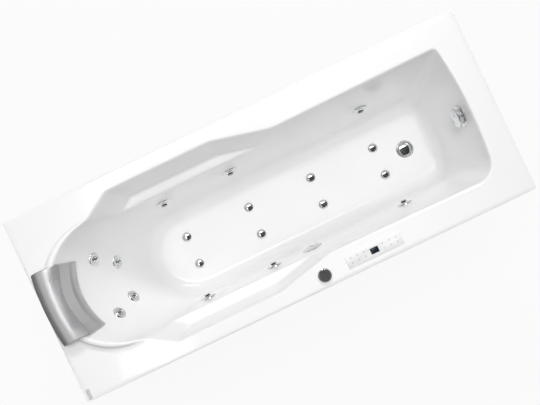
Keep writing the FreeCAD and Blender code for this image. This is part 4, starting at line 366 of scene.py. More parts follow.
material, tree, shader = finish_named("timber")
mapping = add(tree, "ShaderNodeMapping", {"Vector": object_place(tree), "Scale": (1.2, 14, 14)})
rings = add(tree, "ShaderNodeTexWave",
            {"Vector": mapping.outputs[0], "Scale": 3.4, "Distortion": 5.5,
             "Detail": 3.0, "Detail Scale": 1.4},
            wave_type="BANDS", bands_direction="DIAGONAL")
grain = mixed(tree, rings.outputs["Fac"], (0.70, 0.52, 0.31), (0.52, 0.33, 0.16))
tree.links.new(placed(tree, DUST, Colour=grain, Amount=0.3)["Colour"], shader["Base Color"])
tree.links.new(ranged(tree, rings.outputs["Fac"], 0, 1, 0.55, 0.75), shader["Roughness"])
tree.links.new(bumped(tree, rings.outputs["Fac"], 0.25, 0.0006), shader["Normal"])
FINISHES["timber"] = material
print("finishes", sorted(FINISHES))

# %% [markdown]
# ## Metals
#
# Chrome plate is a mirror with a very faint bluish cast and hardly any roughness, broken by fine wiping
# marks.  The frame is powder coated, which gives a fine orange peel and bare metal where an edge is
# knocked.  Screws and nuts are zinc plated, with a duller, patchy shine.

# %% Chrome, zinc, turned steel and powder coat
def metal(slot, colour, other, low, high, marks=220.0, bump=0.04, **sockets):
    """Bare or plated metal: its roughness drifts with fine marks."""
    material, tree, shader = finish_named(slot, Metallic=1.0, **sockets)
    tone = placed(tree, DRIFT, Colour=colour, Other=other, Scale=30.0, Contrast=0.7)
    fine = placed(tree, FINE_BUMP, Scale=marks, Strength=bump, Distance=0.0002)
    tree.links.new(tone["Colour"], shader["Base Color"])
    tree.links.new(ranged(tree, fine["Height"], 0.3, 0.7, low, high), shader["Roughness"])
    tree.links.new(fine["Normal"], shader["Normal"])
    FINISHES[slot] = material


metal("chrome", (0.80, 0.81, 0.82), (0.76, 0.77, 0.79), 0.04, 0.09)
metal("zinc", (0.66, 0.67, 0.66), (0.50, 0.50, 0.47), 0.28, 0.50, bump=0.12)
metal("motor_steel", (0.56, 0.57, 0.58), (0.48, 0.48, 0.49), 0.22, 0.38, marks=500.0, bump=0.10)
moulded("steel", (0.42, 0.44, 0.46), (0.38, 0.40, 0.42), 0.42, bump_scale=700.0, bump=0.25,
        dust=0.35, wear=0.55, worn=(0.60, 0.60, 0.60))

# %% [markdown]
# ## Plastics, rubber and paint
#
# These differ in colour, in how rough the mould left them and in how much dust they hold.

# %% Moulded and painted finishes
moulded("pipe_plastic", (0.80, 0.81, 0.80), (0.73, 0.74, 0.73), 0.30, dust=0.30)
moulded("hose", (0.62, 0.68, 0.72), (0.55, 0.62, 0.67), 0.22, dust=0.15, Transmission_Weight=0.25, IOR=1.45)
moulded("cable", (0.045, 0.045, 0.05), (0.07, 0.07, 0.075), 0.45, dust=0.25)
moulded("rubber", (0.030, 0.030, 0.032), (0.05, 0.05, 0.05), 0.68, bump_scale=1400.0, bump=0.3, dust=0.2)
moulded("foot", (0.045, 0.045, 0.048), (0.07, 0.07, 0.07), 0.60, bump=0.3, dust=0.35)
moulded("pump_plastic", (0.035, 0.038, 0.042), (0.055, 0.058, 0.062), 0.42, bump_scale=1200.0, bump=0.35,
        dust=0.35, wear=0.25, worn=(0.16, 0.16, 0.16))
moulded("motor_paint", (0.055, 0.12, 0.21), (0.045, 0.10, 0.18), 0.36, bump_scale=500.0, bump=0.3,
        dust=0.35, wear=0.45, worn=(0.35, 0.34, 0.33))
moulded("box_plastic", (0.62, 0.63, 0.63), (0.55, 0.56, 0.56), 0.40, bump_scale=1600.0, bump=0.4, dust=0.3)
moulded("panel_plastic", (0.90, 0.90, 0.90), (0.87, 0.87, 0.87), 0.30, bump_scale=1500.0, bump=0.1)
# Also the black of the painted shade plugs in the jets' bores further down.
moulded("dark_plastic", (0.020, 0.020, 0.022), (0.035, 0.035, 0.037), 0.35)
moulded("display", (0.010, 0.016, 0.022), (0.016, 0.024, 0.032), 0.10, bump=0.02, Coat_Weight=0.8)
moulded("key_print", (0.34, 0.35, 0.36), (0.30, 0.31, 0.32), 0.40)
moulded("badge_metal", (0.50, 0.50, 0.51), (0.44, 0.44, 0.45), 0.30, Metallic=0.8)
moulded("pillow_skin", (0.56, 0.56, 0.57), (0.52, 0.52, 0.53), 0.34, bump_scale=1100.0, bump=0.30,
        Metallic=0.65, Coat_Weight=0.1)
print("finishes", len(FINISHES))

# %% [markdown]
# ## The acrylic sheet
#
# The real shell is one heated sheet sucked into a mould, so every corner is rounded and light runs over it
# without a break.  A CAD solid has the sizes but sharp corners.  Here the sheet is laid out as the mould
# is: stations stand all round the tub, a profile runs down from the skirt to the middle of the floor at
# each of them, and each corner of the profile is rounded by averaging it over its own width.

# %% Sizes of the sheet, metres
shell_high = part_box("tub_shell")[1]
HALF_LENGTH = shell_high.x
HALF_WIDTH = shell_high.y
DECK = 0.600
SKIRT_LOW = 0.560
WALL = 0.005
FLOOR_DEPTH = 0.420
LEDGE_DEPTH = 0.120
# Ends of the line along the middle of the floor that the stations stand on.
SPINE_HEAD = -0.340
SPINE_FOOT = 0.600
RIDGE_CENTRE = -0.622
RIDGE_RADIUS = 0.233
RIDGE_END = -0.590
RIDGE_HEIGHT = 0.028
RIDGE_LEAN = 0.009 / RIDGE_HEIGHT
# Half width of the basin at the deck, the ledges and the floor.
HALF_WIDTHS = (0.248, 0.219, 0.168)
# X of the basin's head at the deck, at a middle depth and at the floor.
HEAD_TIPS = (-0.800, -0.635, -0.500)
HEAD_MIDDLE = 0.200
HEAD_PINCH = 0.016
# Foot wall at the deck and at the floor: its X, its bow and the radii of its corners.
FOOT_DECK, FOOT_FLOOR = 0.784, 0.693
BOW_DECK, BOW_FLOOR = 0.020, 0.012
NEAR_CORNER, FAR_CORNER, FLOOR_CORNER = 0.075, 0.012, 0.070
# Armrest recess in plan, at the deck and at its ledge.
RECESS_DECK = np.array([(-0.680, 0.181), (-0.500, 0.293), (-0.096, 0.293), (0.132, 0.2384)])
RECESS_LEDGE = np.array([(-0.620, 0.112), (-0.446, 0.257), (-0.096, 0.257), (0.132, 0.2024)])


def quadratic(values, middle, depth):
    """Curve through a value at the deck, one at a middle depth and one at the floor."""
    return np.polyval(np.polyfit([0, middle, FLOOR_DEPTH], values, 2), depth)


def half_width(depth):
    """Half width of the basin."""
    return quadratic(HALF_WIDTHS, LEDGE_DEPTH, depth)


def arc(centre, radius, first, last, count):
    """Points on an arc in plan, from one angle to another in degrees."""
    angles = np.radians(np.linspace(first, last, count))
    return np.stack([centre[0] + radius * np.cos(angles), centre[1] + radius * np.sin(angles)], axis=1)


def basin_outline(depth):
    """Closed outline of the basin at a depth, counted down from the deck."""
    share = max(depth, 0) / FLOOR_DEPTH
    wide = half_width(depth)
    head = wide - HEAD_PINCH * max(0, 1 - depth / LEDGE_DEPTH) ** 2
    tip = quadratic(HEAD_TIPS, HEAD_MIDDLE, depth)
    foot = FOOT_DECK + (FOOT_FLOOR - FOOT_DECK) * share
    bow = BOW_DECK + (BOW_FLOOR - BOW_DECK) * share
    bow_radius = (wide ** 2 + bow ** 2) / (2 * bow)
    bow_centre = foot - bow_radius
    corners = []
    for side, at_deck in ((-1, NEAR_CORNER), (1, FAR_CORNER)):
        radius = at_deck + (FLOOR_CORNER - at_deck) * share
        reach = math.sqrt((bow_radius - radius) ** 2 - (wide - radius) ** 2)
        lean = math.degrees(math.atan2(side * (wide - radius), reach))
        corners.append(((bow_centre + reach, side * (wide - radius)), radius, lean))
    (near_centre, near_radius, near_lean), (far_centre, far_radius, far_lean) = corners
    return np.concatenate([
        arc((tip + head, 0), head, 90, 270, 120),
        arc(near_centre, near_radius, -90, near_lean, 14),
        arc((bow_centre, 0), bow_radius, near_lean, far_lean, 24),
        arc(far_centre, far_radius, far_lean, 90, 14),
    ])


def recess_outline(depth, side):
    """Open outline of an armrest recess, which narrows towards its ledge."""
    points = RECESS_DECK + (RECESS_LEDGE - RECESS_DECK) * depth / LEDGE_DEPTH
    return points * (1, side)


print("floor half width", half_width(FLOOR_DEPTH), "skirt", HALF_LENGTH, HALF_WIDTH)


# %% Stations round the tub
def fan(start, stop, step):
    """Angles in degrees from one to another, without the last."""
    return list(np.arange(start, stop - step / 2, step))


def stations():
    """Origin and direction of each station, in order round the tub."""
    corner_head = math.degrees(math.atan2(HALF_WIDTH, -HALF_LENGTH - SPINE_HEAD))
    corner_foot = math.degrees(math.atan2(HALF_WIDTH, HALF_LENGTH - SPINE_FOOT))
    near_corner = [-1.0, -0.6, -0.3, 0, 0.3, 0.6, 1.0]
    head = fan(90, 105, 1.5) + fan(105, 128, 0.7) + fan(128, 180.1, 1.5)
    head = [a for a in head if abs(a - corner_head) > 1.2] + [corner_head + d for d in near_corner]
    head = sorted(head)
    head += [360 - a for a in reversed(head) if a < 179.9]
    foot = fan(0, 44, 1.5) + fan(44, 62, 0.6) + fan(62, 89, 1.5)
    foot = [a for a in foot if abs(a - corner_foot) > 0.7] + [corner_foot + d * 0.7 for d in near_corner]
    foot = sorted(foot)
    foot = [-a for a in reversed(foot)] + foot[1:]
    along = np.arange(SPINE_HEAD + 0.012, SPINE_FOOT, 0.0141)
    origins = [(SPINE_HEAD, 0)] * len(head) + [(x, 0) for x in along]
    origins += [(SPINE_FOOT, 0)] * (len(foot) + 2) + [(x, 0) for x in reversed(along)]
    head_ways, foot_ways = [
        [(math.cos(math.radians(a)), math.sin(math.radians(a))) for a in fanned] for fanned in (head, foot)]
    directions = head_ways + [(0, -1)] * (len(along) + 1) + foot_ways + [(0, 1)] * (len(along) + 1)
    return np.array(origins), np.array(directions)


ORIGINS, DIRECTIONS = stations()


def reach(outline, closed):
    """How far each station's ray runs before it leaves an outline."""
    ends = np.roll(outline, -1, axis=0) if closed else outline[1:]
    starts = outline if closed else outline[:-1]
    edge = ends - starts
    offset = starts[None] - ORIGINS[:, None]
    cross = DIRECTIONS[:, None, 0] * edge[None, :, 1] - DIRECTIONS[:, None, 1] * edge[None, :, 0]
    cross = np.where(np.abs(cross) < 1e-12, 1e-12, cross)
    run = (offset[..., 0] * edge[None, :, 1] - offset[..., 1] * edge[None, :, 0]) / cross
    share = (offset[..., 0] * DIRECTIONS[:, None, 1] - offset[..., 1] * DIRECTIONS[:, None, 0]) / cross
    hit = (share >= -1e-9) & (share <= 1 + 1e-9) & (run > 0)
    return np.where(hit, run, 0).max(axis=1)


def opening(depth):
    """Reach of the basin and, above the ledges, of the recesses as well."""
    far = reach(basin_outline(depth), True)
    if depth <= LEDGE_DEPTH:
        for side in (-1, 1):
            far = np.maximum(far, reach(recess_outline(depth, side), False))
    return far


print(len(ORIGINS), "stations")


# %% Corners of each profile
def ring(run, height):
    """Points at a distance along each station's ray, at a height."""
    plan = ORIGINS + DIRECTIONS * run[:, None]
    return np.column_stack([plan, np.broadcast_to(height, len(plan))])


def ridge_height(x):
    """Height of the head ridge, which fades out towards the recesses."""
    return RIDGE_HEIGHT * np.clip((RIDGE_END - x) / (RIDGE_END - RIDGE_CENTRE + RIDGE_RADIUS), 0, 1)


def circle_reach(radius):
    """Reach of each station's ray inside a circle round the ridge's centre."""
    away = ORIGINS - (RIDGE_CENTRE, 0)
    along = (away * DIRECTIONS).sum(axis=1)
    inside = along ** 2 - (away ** 2).sum(axis=1) + radius ** 2
    return np.where(inside > 0, -along + np.sqrt(np.maximum(inside, 0)), 0)


def sampled(where, at, values):
    """Rows of values at places along a line, given the places of its known rows."""
    return np.stack([np.interp(where, at, column) for column in values.T], axis=1)


def averaged(at, points, places, width, count):
    """Mean of a line of points over a width to each side of each place along it."""
    fine = np.linspace(at[0], at[-1], count)
    line = sampled(fine, at, points)
    areas = np.cumsum((line[1:] + line[:-1]) / 2, axis=0) * (fine[1] - fine[0])
    total = np.concatenate([np.zeros((1, 3)), areas])
    spread = sampled(places + width, fine, total) - sampled(places - width, fine, total)
    return spread / (2 * np.reshape(width, (-1, 1)))


def evened(points, width):
    """Closed ring of points averaged over a width to each side, which rounds its corners."""
    closed = np.concatenate([points, points, points, points[:1]])
    steps = np.linalg.norm(np.diff(closed, axis=0), axis=1)
    at = np.concatenate([[0], np.cumsum(steps)])
    return averaged(at, closed, at[len(points):2 * len(points)], width, 24 * len(points))


def profile_corners():
    """Each corner of the profiles: its points, the width of its rounding and the samples after it."""
    edge = np.minimum(
        np.where(DIRECTIONS[:, 0] != 0, (np.sign(DIRECTIONS[:, 0]) * HALF_LENGTH - ORIGINS[:, 0])
                 / np.where(DIRECTIONS[:, 0] == 0, 1, DIRECTIONS[:, 0]), 9),
        np.where(DIRECTIONS[:, 1] != 0, HALF_WIDTH / np.maximum(np.abs(DIRECTIONS[:, 1]), 1e-9), 9))
    at_deck, at_ridge = opening(0.0), opening(-RIDGE_HEIGHT)
    # The ridge's top is found where its height and its leaning slope agree.
    foot = circle_reach(RIDGE_RADIUS)
    top, high = foot, np.zeros(len(foot))
    for _ in range(6):
        high = ridge_height((ORIGINS + DIRECTIONS * top[:, None])[:, 0])
        top = circle_reach(RIDGE_RADIUS - RIDGE_LEAN * high)
    rim = at_deck + (at_ridge - at_deck) * high / RIDGE_HEIGHT
    high = np.where(foot > at_deck + 0.002, high, 0)
    rim = np.where(high > 0, rim, at_deck)
    top = np.maximum(top, rim + 0.006)
    foot = np.maximum(foot, top + 0.004)
    wide = opening(LEDGE_DEPTH)
    narrow = reach(basin_outline(LEDGE_DEPTH), True)
    # Where there is no ledge, its two corners slide apart along the wall.
    plain = 1 - np.clip((wide - narrow) / 0.006, 0, 1)
    ease = 0.004 * plain
    wide = wide + (opening(LEDGE_DEPTH - 0.004) - wide) * plain
    narrow = narrow + (reach(basin_outline(LEDGE_DEPTH + 0.004), True) - narrow) * plain
    corners = [
        (ring(edge, SKIRT_LOW), 0.001, 6),
        (ring(edge, DECK), 0.0047, 8),
        (ring(foot, DECK), 0.005, 5),
        (ring(top, DECK + high), 0.007, 5),
        (ring(rim, DECK + high), 0.009, 11),
    ]
    corners += [(ring(opening(depth), DECK - depth), 0.010, 0) for depth in (0.030, 0.060, 0.090)]
    corners += [
        (ring(wide, DECK - LEDGE_DEPTH + ease), 0.006, 6),
        (ring(narrow, DECK - LEDGE_DEPTH - ease), 0.005, 24),
    ]
    for depth in (0.16, 0.20, 0.24, 0.28, 0.32, 0.36, 0.39):
        corners.append((ring(reach(basin_outline(depth), True), DECK - depth), 0.015, 0))
    floor = reach(basin_outline(FLOOR_DEPTH), True)
    corners.append((ring(floor, DECK - FLOOR_DEPTH), 0.056, 14))
    spine = ring(np.zeros(len(floor)), DECK - FLOOR_DEPTH)
    rounded = [(evened(points, 0.008), width, samples) for points, width, samples in corners]
    return rounded + [(spine, 0.0001, 0)]


CORNERS = profile_corners()
print(len(CORNERS), "corners in a profile")


# %% Rounded profiles
RUN_OUT = 0.2
LEAST_ROUNDING = 0.0005


def rounded_profile(points, widths, samples):
    """One profile through its corners, each averaged over its own width, at its samples."""
    steps = np.linalg.norm(np.diff(points, axis=0), axis=1)
    at = np.concatenate([[0], np.cumsum(steps)])
    main = [i for i, count in enumerate(samples) if count] + [len(points) - 1]
    wanted = []
    for first, last in zip(main, main[1:]):
        count = samples[first]
        share = 0.5 - 0.5 * np.cos(np.pi * np.arange(count) / count)
        wanted.extend(at[first] + (at[last] - at[first]) * share)
    wanted = np.array(wanted + [at[-1]])
    width = np.full(len(wanted), 1e-5)
    for where, wide in zip(at, widths):
        width = np.maximum(width, wide * np.clip(2 - np.abs(wanted - where) / wide, 0, 1))
    # Straight run-outs at both ends let the average reach past them.
    first_way = (points[1] - points[0]) / steps[0] * RUN_OUT
    last_way = (points[-1] - points[-2]) / steps[-1] * RUN_OUT
    long = np.concatenate([[points[0] - first_way], points, [points[-1] + last_way]])
    at = np.concatenate([[-RUN_OUT], at, [at[-1] + RUN_OUT]])
    rounded = averaged(at, long, wanted, width, 2400)
    return np.where(width[:, None] > LEAST_ROUNDING, rounded, sampled(wanted, at, long))


def sheet_points():
    """Grid of points: one row a station, one column a place along the profile."""
    rings, widths, samples = zip(*CORNERS)
    return np.stack([rounded_profile(row, widths, samples) for row in np.stack(rings, axis=1)])


GRID = sheet_points()
print("sheet grid", GRID.shape, "lowest", round(float(GRID[..., 2].min()), 4))


# %% From the grid to a sheet of real thickness
def finished(name, mesh, finish):
    """Object of a mesh, linked and given a finish in place of what the mesh had."""
    mesh.name = name
    mesh.materials.clear()
    mesh.materials.append(FINISHES[finish])
    return link(bpy.data.objects.new(name, mesh))


def mesh_of(work, name):
    """Mesh of a finished bmesh."""
    mesh = bpy.data.meshes.new(name)
    work.to_mesh(mesh)
    work.free()
    return mesh


def apply_modifiers(obj):
    """Turns the evaluated object into a plain mesh and removes its modifiers."""
    depsgraph = bpy.context.evaluated_depsgraph_get()
    mesh = bpy.data.meshes.new_from_object(obj.evaluated_get(depsgraph), depsgraph=depsgraph)
    old = obj.data
    obj.modifiers.clear()
    obj.data = mesh
    mesh.name = old.name
    bpy.data.meshes.remove(old)
    return obj


def smooth(obj, angle=30):
    """Smooth shading with creases where faces turn by more than an angle."""
    obj.data.shade_smooth()
    obj.data.set_sharp_from_angle(angle=math.radians(angle))
    return obj


def welded(obj, distance=0.00005):
    """Merges points that lie on each other."""
    work = bmesh.new()
    work.from_mesh(obj.data)
    bmesh.ops.remove_doubles(work, verts=work.verts, dist=distance)
    bmesh.ops.dissolve_degenerate(work, edges=work.edges, dist=0.000001)
    work.to_mesh(obj.data)
    work.free()
    return obj


rows, columns = GRID.shape[:2]
faces = []
for row in range(rows):
    after = (row + 1) % rows
    for column in range(columns - 1):
        faces.append((row * columns + column, row * columns + column + 1,
                      after * columns + column + 1, after * columns + column))
sheet = bpy.data.meshes.new("acrylic_tub")
sheet.from_pydata([tuple(p) for p in GRID.reshape(-1, 3)], [], faces)
sheet.validate()
tub = finished("acrylic_tub", sheet, "acrylic")
welded(tub)
floor_faces = [f for f in tub.data.polygons if f.center.z < DECK - FLOOR_DEPTH + 0.001]
if sum(f.normal.z for f in floor_faces) < 0:
    tub.data.flip_normals()
solidify = tub.modifiers.new("wall", "SOLIDIFY")
solidify.thickness = WALL
solidify.offset = -1
solidify.use_even_offset = True
apply_modifiers(tub)
print("sheet", len(tub.data.polygons), "faces")

# %% [markdown]
# ## Holes for the fittings
#
# Each fitting's neck goes through a hole.  The CAD joints say where the moving ones stand and which way
# they point; the rest stand square to the floor, the deck or the wall.

# %% Cutting the holes
def wall_direction(side, depth):
    """Way into the basin, square to a long wall at a depth."""
    slope = (half_width(depth + 0.001) - half_width(depth - 0.001)) / 0.002
    return Vector((0, -side, -slope)).normalized()


def joint_line(name):
    """Point and direction of a joint's axis."""
    return Vector(JOINTS[name]["pos_m"]), Vector(JOINTS[name]["axis"]).normalized()


JET_DEPTH = 0.230
JET_XS = (-0.354, -0.080, 0.460)
JET_HOLE = 0.0220
SUCTION_X = 0.077
BIG_HOLE = 0.0282
BACK_JET_HOLE = 0.0162
OVERFLOW_HOLE = 0.0242
AIR_JETS = [(-0.347 + 0.2705 * i, side * 0.058) for i in range(4) for side in (-1, 1)]
AIR_JET_HOLE = 0.0070
DRAIN = (0.577, 0.0)
REGULATOR = (0.070, -0.306)
REGULATOR_HOLE = 0.0142
PEGS = [(-0.861, side * 0.080) for side in (-1, 1)]
PEG_HOLE = 0.0064
PANEL_MIDDLE = (0.266, -0.301, DECK - 0.008)
PANEL_HOLE = (0.198, 0.038, 0.030)
CUTTER_DEPTH = 0.05
holes = []
for side in (-1, 1):
    inwards = wall_direction(side, JET_DEPTH)
    wall_point = side * float(half_width(JET_DEPTH))
    holes += [(Vector((x, wall_point, DECK - JET_DEPTH)), inwards, JET_HOLE) for x in JET_XS]
    if side < 0:
        holes.append((Vector((SUCTION_X, wall_point, DECK - JET_DEPTH)), inwards, BIG_HOLE))
holes += [(*joint_line(f"back_rotor_{number}_spin"), BACK_JET_HOLE) for number in range(1, 5)]
holes.append((*joint_line("overflow_knob_turn"), OVERFLOW_HOLE))
UP = Vector((0, 0, 1))
holes += [(Vector((x, y, DECK - FLOOR_DEPTH)), UP, AIR_JET_HOLE) for x, y in AIR_JETS]
holes.append((Vector((*DRAIN, DECK - FLOOR_DEPTH)), UP, BIG_HOLE))
holes.append((Vector((*REGULATOR, DECK)), UP, REGULATOR_HOLE))
holes += [(Vector((x, y, DECK)), UP, PEG_HOLE) for x, y in PEGS]

def add_rod(work, middle, way, radius, depth, segments):
    """Adds a capped cylinder round a middle point, along a direction."""
    turn = way.to_track_quat("Z", "Y").to_matrix().to_4x4()
    bmesh.ops.create_cone(work, cap_ends=True, segments=segments, radius1=radius, radius2=radius,
                          depth=depth, matrix=Matrix.Translation(middle) @ turn)


def add_block(work, middle, size):
    """Adds a box round a middle point."""
    bmesh.ops.create_cube(work, size=1.0, matrix=Matrix.Translation(middle) @ Matrix.Diagonal((*size, 1)))


work = bmesh.new()
for point, way, radius in holes:
    add_rod(work, point - way * 0.010, way, radius, CUTTER_DEPTH, 48)
add_block(work, PANEL_MIDDLE, PANEL_HOLE)
cutters = link(bpy.data.objects.new("hole_cutters", mesh_of(work, "hole_cutters")))
cut = tub.modifiers.new("holes", "BOOLEAN")
cut.operation = "DIFFERENCE"
cut.solver = "EXACT"
cut.object = cutters
apply_modifiers(tub)
bpy.data.objects.remove(cutters)
smooth(tub, 35)
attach(tub, "tub")
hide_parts("tub_shell")
print(len(holes) + 1, "holes;", len(tub.data.polygons), "faces")

# %% [markdown]
# ## Fittings and works
#
# The other CAD pieces have the right form already.  A copy of each is merged, its curves are shaded
# smooth and its edges get the small rounding that catches the light.

# %% Dressed copies
CREASE = 32


def dressed(node, finish, edge=0.0004):
    """Merged and softly edged copy of a CAD node, which it replaces."""
    made = finished(node + "_dressed", NODES[node].data.copy(), finish)
    mesh = made.data
    if "custom_normal" in mesh.attributes:
        mesh.attributes.remove(mesh.attributes["custom_normal"])
    work = bmesh.new()
    work.from_mesh(mesh)
    bmesh.ops.remove_doubles(work, verts=work.verts, dist=0.00001)
    bmesh.ops.dissolve_limit(work, angle_limit=math.radians(0.5), verts=work.verts, edges=work.edges)
    work.to_mesh(mesh)
    work.free()
    if edge:
        bevel = made.modifiers.new("edge", "BEVEL")
        bevel.width = edge
        bevel.segments = 2
        bevel.limit_method = "ANGLE"
        bevel.angle_limit = math.radians(CREASE)
        bevel.use_clamp_overlap = True
        apply_modifiers(made)
    smooth(made, CREASE)
    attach(made, BODY_OF[node])
    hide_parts(node)
    return made


BODY_OF = {node: body for body, nodes in frame["record"]["behaviour"]["bodies"].items() for node in nodes}
SLOT_OF = {piece["node"]: piece["material_slot"] for piece in frame["record"]["subparts"]}
print("slots in use", sorted(set(SLOT_OF.values())))

# %% Chrome fittings
for node, slot in SLOT_OF.items():
    if slot == "chrome":
        dressed(node, "chrome")
print("chrome pieces", sum(slot == "chrome" for slot in SLOT_OF.values()))

# %% [markdown]
# ## What stands under the deck
#
# Boards, bars and boxes get a millimetre of rounding, as sawn wood and drawn tube have.  Pipes and the
# sprayed laminate are left with their own edges, because theirs are thin and hardly seen.

# %% Frame, boards, pipes and machines
WIDE_EDGES = {
    "timber": 0.0015, "board": 0.001, "steel": 0.0012, "box_plastic": 0.0012, "panel_plastic": 0.0008}
PLAIN = {"laminate", "hose", "cable", "rubber"}
APART = {"tub_shell", "pillow"}
for node, slot in SLOT_OF.items():
    if slot == "chrome" or node in APART or slot == "foot":
        continue
    width = 0 if slot in PLAIN or node == "water_pipes" else WIDE_EDGES.get(slot, 0.0005)
    dressed(node, slot, edge=width)
print("dressed", len(SLOT_OF) - len(APART), "nodes with the chrome and the feet")

# %% Levelling feet
PAD_TOP = 0.0202
for number in range(1, 5):
    foot = dressed(f"levelling_foot_{number}", "foot", edge=0.0008)
    foot.data.materials.append(FINISHES["zinc"])
    for face in foot.data.polygons:
        face.material_index = int(face.center.z > PAD_TOP)
print("feet with a rubber pad and a plated stud")

# %% [markdown]
# ## Things that repeat
#
# The panel's key marks, the ribs of the motor and the screws of the control box's lid are each one small
# shape set out by a rule, so Geometry Nodes lay them out.  Each tree has its sizes as named inputs, turns
# its instances into plain mesh and puts a finish on them.

# %% Trees for rows and rings
def geometry_tree(name, inputs):
    """Geometry tree with a geometry output; inputs are (name, kind)."""
    tree = bpy.data.node_groups.new(name, "GeometryNodeTree")
    tree.interface.new_socket("Geometry", in_out="INPUT", socket_type="NodeSocketGeometry")
    for label, kind in inputs:
        tree.interface.new_socket(label, in_out="INPUT", socket_type="NodeSocket" + kind)
    tree.interface.new_socket("Geometry", in_out="OUTPUT", socket_type="NodeSocketGeometry")
    return tree, add(tree, "NodeGroupInput"), add(tree, "NodeGroupOutput")


def fed(tree, start, kind, inputs, values=None):
    """Node whose sockets take the tree's own inputs; inputs are (input of the tree, socket)."""
    return add(tree, kind, {socket: start.outputs[label] for label, socket in inputs} | (values or {}))


def set_out(tree, points, shape, start, end, **turned):
    """Ends a tree: the shape on each point, made real, with its finish and place."""
    copies = add(tree, "GeometryNodeInstanceOnPoints", {"Points": points, "Instance": shape, **turned})
    real = add(tree, "GeometryNodeRealizeInstances", {0: copies.outputs[0]})
    moved = add(tree, "GeometryNodeTransform", {
        "Geometry": real.outputs[0], "Translation": start.outputs["Place"],
        "Rotation": start.outputs["Turn"]})
    coat = add(tree, "GeometryNodeSetMaterial",
               {"Geometry": moved.outputs[0], "Material": start.outputs["Finish"]})
    tree.links.new(coat.outputs[0], end.inputs[0])


COMMON = [("Place", "Vector"), ("Turn", "Rotation"), ("Finish", "Material")]
GRID_INPUTS = [("Across", "Int"), ("Down", "Int"), ("Width", "Float"), ("Height", "Float")]
GRID_SOCKETS = [
    ("Across", "Vertices X"), ("Down", "Vertices Y"), ("Width", "Size X"), ("Height", "Size Y")]

KEYS, start, end = geometry_tree(
    "key_marks", GRID_INPUTS + [("Mark Radius", "Float"), ("Line", "Float")] + COMMON)
grid = fed(KEYS, start, "GeometryNodeMeshGrid", GRID_SOCKETS)
CIRCLE = "GeometryNodeCurvePrimitiveCircle"
hoop = fed(KEYS, start, CIRCLE, [("Mark Radius", "Radius")], {"Resolution": 16})
line = fed(KEYS, start, CIRCLE, [("Line", "Radius")], {"Resolution": 6})
mark = add(KEYS, "GeometryNodeCurveToMesh", {"Curve": hoop.outputs[0], "Profile Curve": line.outputs[0]})
set_out(KEYS, grid.outputs["Mesh"], mark.outputs[0], start, end)

RIBS, start, end = geometry_tree(
    "ring_of_ribs", [("Count", "Int"), ("Radius", "Float"), ("Rib", "Vector")] + COMMON)
ring_points = fed(RIBS, start, "GeometryNodeMeshCircle", [("Count", "Vertices"), ("Radius", "Radius")])
rib = fed(RIBS, start, "GeometryNodeMeshCube", [("Rib", "Size")])
outward = add(RIBS, "FunctionNodeAlignRotationToVector",
              {"Vector": add(RIBS, "GeometryNodeInputPosition").outputs[0]}, axis="X")
set_out(RIBS, ring_points.outputs["Mesh"], rib.outputs["Mesh"], start, end,
        Rotation=outward.outputs["Rotation"])

STUDS, start, end = geometry_tree(
    "grid_of_studs", GRID_INPUTS + [("Stud Radius", "Float"), ("Stud Depth", "Float")] + COMMON)
grid = fed(STUDS, start, "GeometryNodeMeshGrid", GRID_SOCKETS)
stud = fed(STUDS, start, "GeometryNodeMeshCylinder",
           [("Stud Radius", "Radius"), ("Stud Depth", "Depth")], {"Vertices": 16})
set_out(STUDS, grid.outputs["Mesh"], stud.outputs["Mesh"], start, end)
print("geometry trees", [g.name for g in bpy.data.node_groups if g.bl_idname == "GeometryNodeTree"])


# %% Growing one object from a tree
ROUND_CREASE = 40


def grown(name, tree, slot, finish, **values):
    """Object made by a geometry tree and turned into plain mesh, that rides the tub."""
    made = link(bpy.data.objects.new(name, bpy.data.meshes.new(name)))
    layout = made.modifiers.new("layout", "NODES")
    layout.node_group = tree
    sockets = {item.name: item.identifier for item in tree.interface.items_tree
               if item.item_type == "SOCKET" and item.in_out == "INPUT"}
    for label, value in values.items():
        layout[sockets[label.replace("_", " ")]] = value
    layout[sockets["Finish"]] = FINISHES[finish]
    apply_modifiers(made)
    smooth(made, ROUND_CREASE)
    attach(made, "tub")


PANEL_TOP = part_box("control_panel")[1].z
for name, middle in (("key_marks_left", 0.203), ("key_marks_right", 0.327)):
    grown(name, KEYS, "panel_plastic", "key_print", Across=3, Down=2, Width=0.052, Height=0.018,
          Mark_Radius=0.0026, Line=0.0005, Place=(middle, -0.299, PANEL_TOP + 0.0001), Turn=(0, 0, 0))

motor_low, motor_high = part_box("pump_motor")
MOTOR_AXIS = JOINTS["pump_rotor_spin"]["pos_m"]
MOTOR_RADIUS = 0.065
RIB_LENGTH = (motor_high.y - motor_low.y) - 0.030
grown("motor_ribs", RIBS, "motor_paint", "motor_paint", Count=36, Radius=MOTOR_RADIUS + 0.001,
      Rib=(0.008, 0.002, RIB_LENGTH), Turn=(math.radians(90), 0, 0),
      Place=(MOTOR_AXIS[0], (motor_low.y + motor_high.y) / 2, MOTOR_AXIS[2]))

box_low, box_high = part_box("control_box")
grown("box_lid_screws", STUDS, "zinc", "zinc", Across=2, Down=2, Width=0.050, Height=0.166,
      Stud_Radius=0.003, Stud_Depth=0.0016, Turn=(0, 0, 0),
      Place=((box_low.x + box_high.x) / 2, (box_low.y + box_high.y) / 2, box_high.z + 0.0006))
print("motor", [round(v, 3) for v in (*motor_low, *motor_high)], "box top", round(box_high.z, 3))
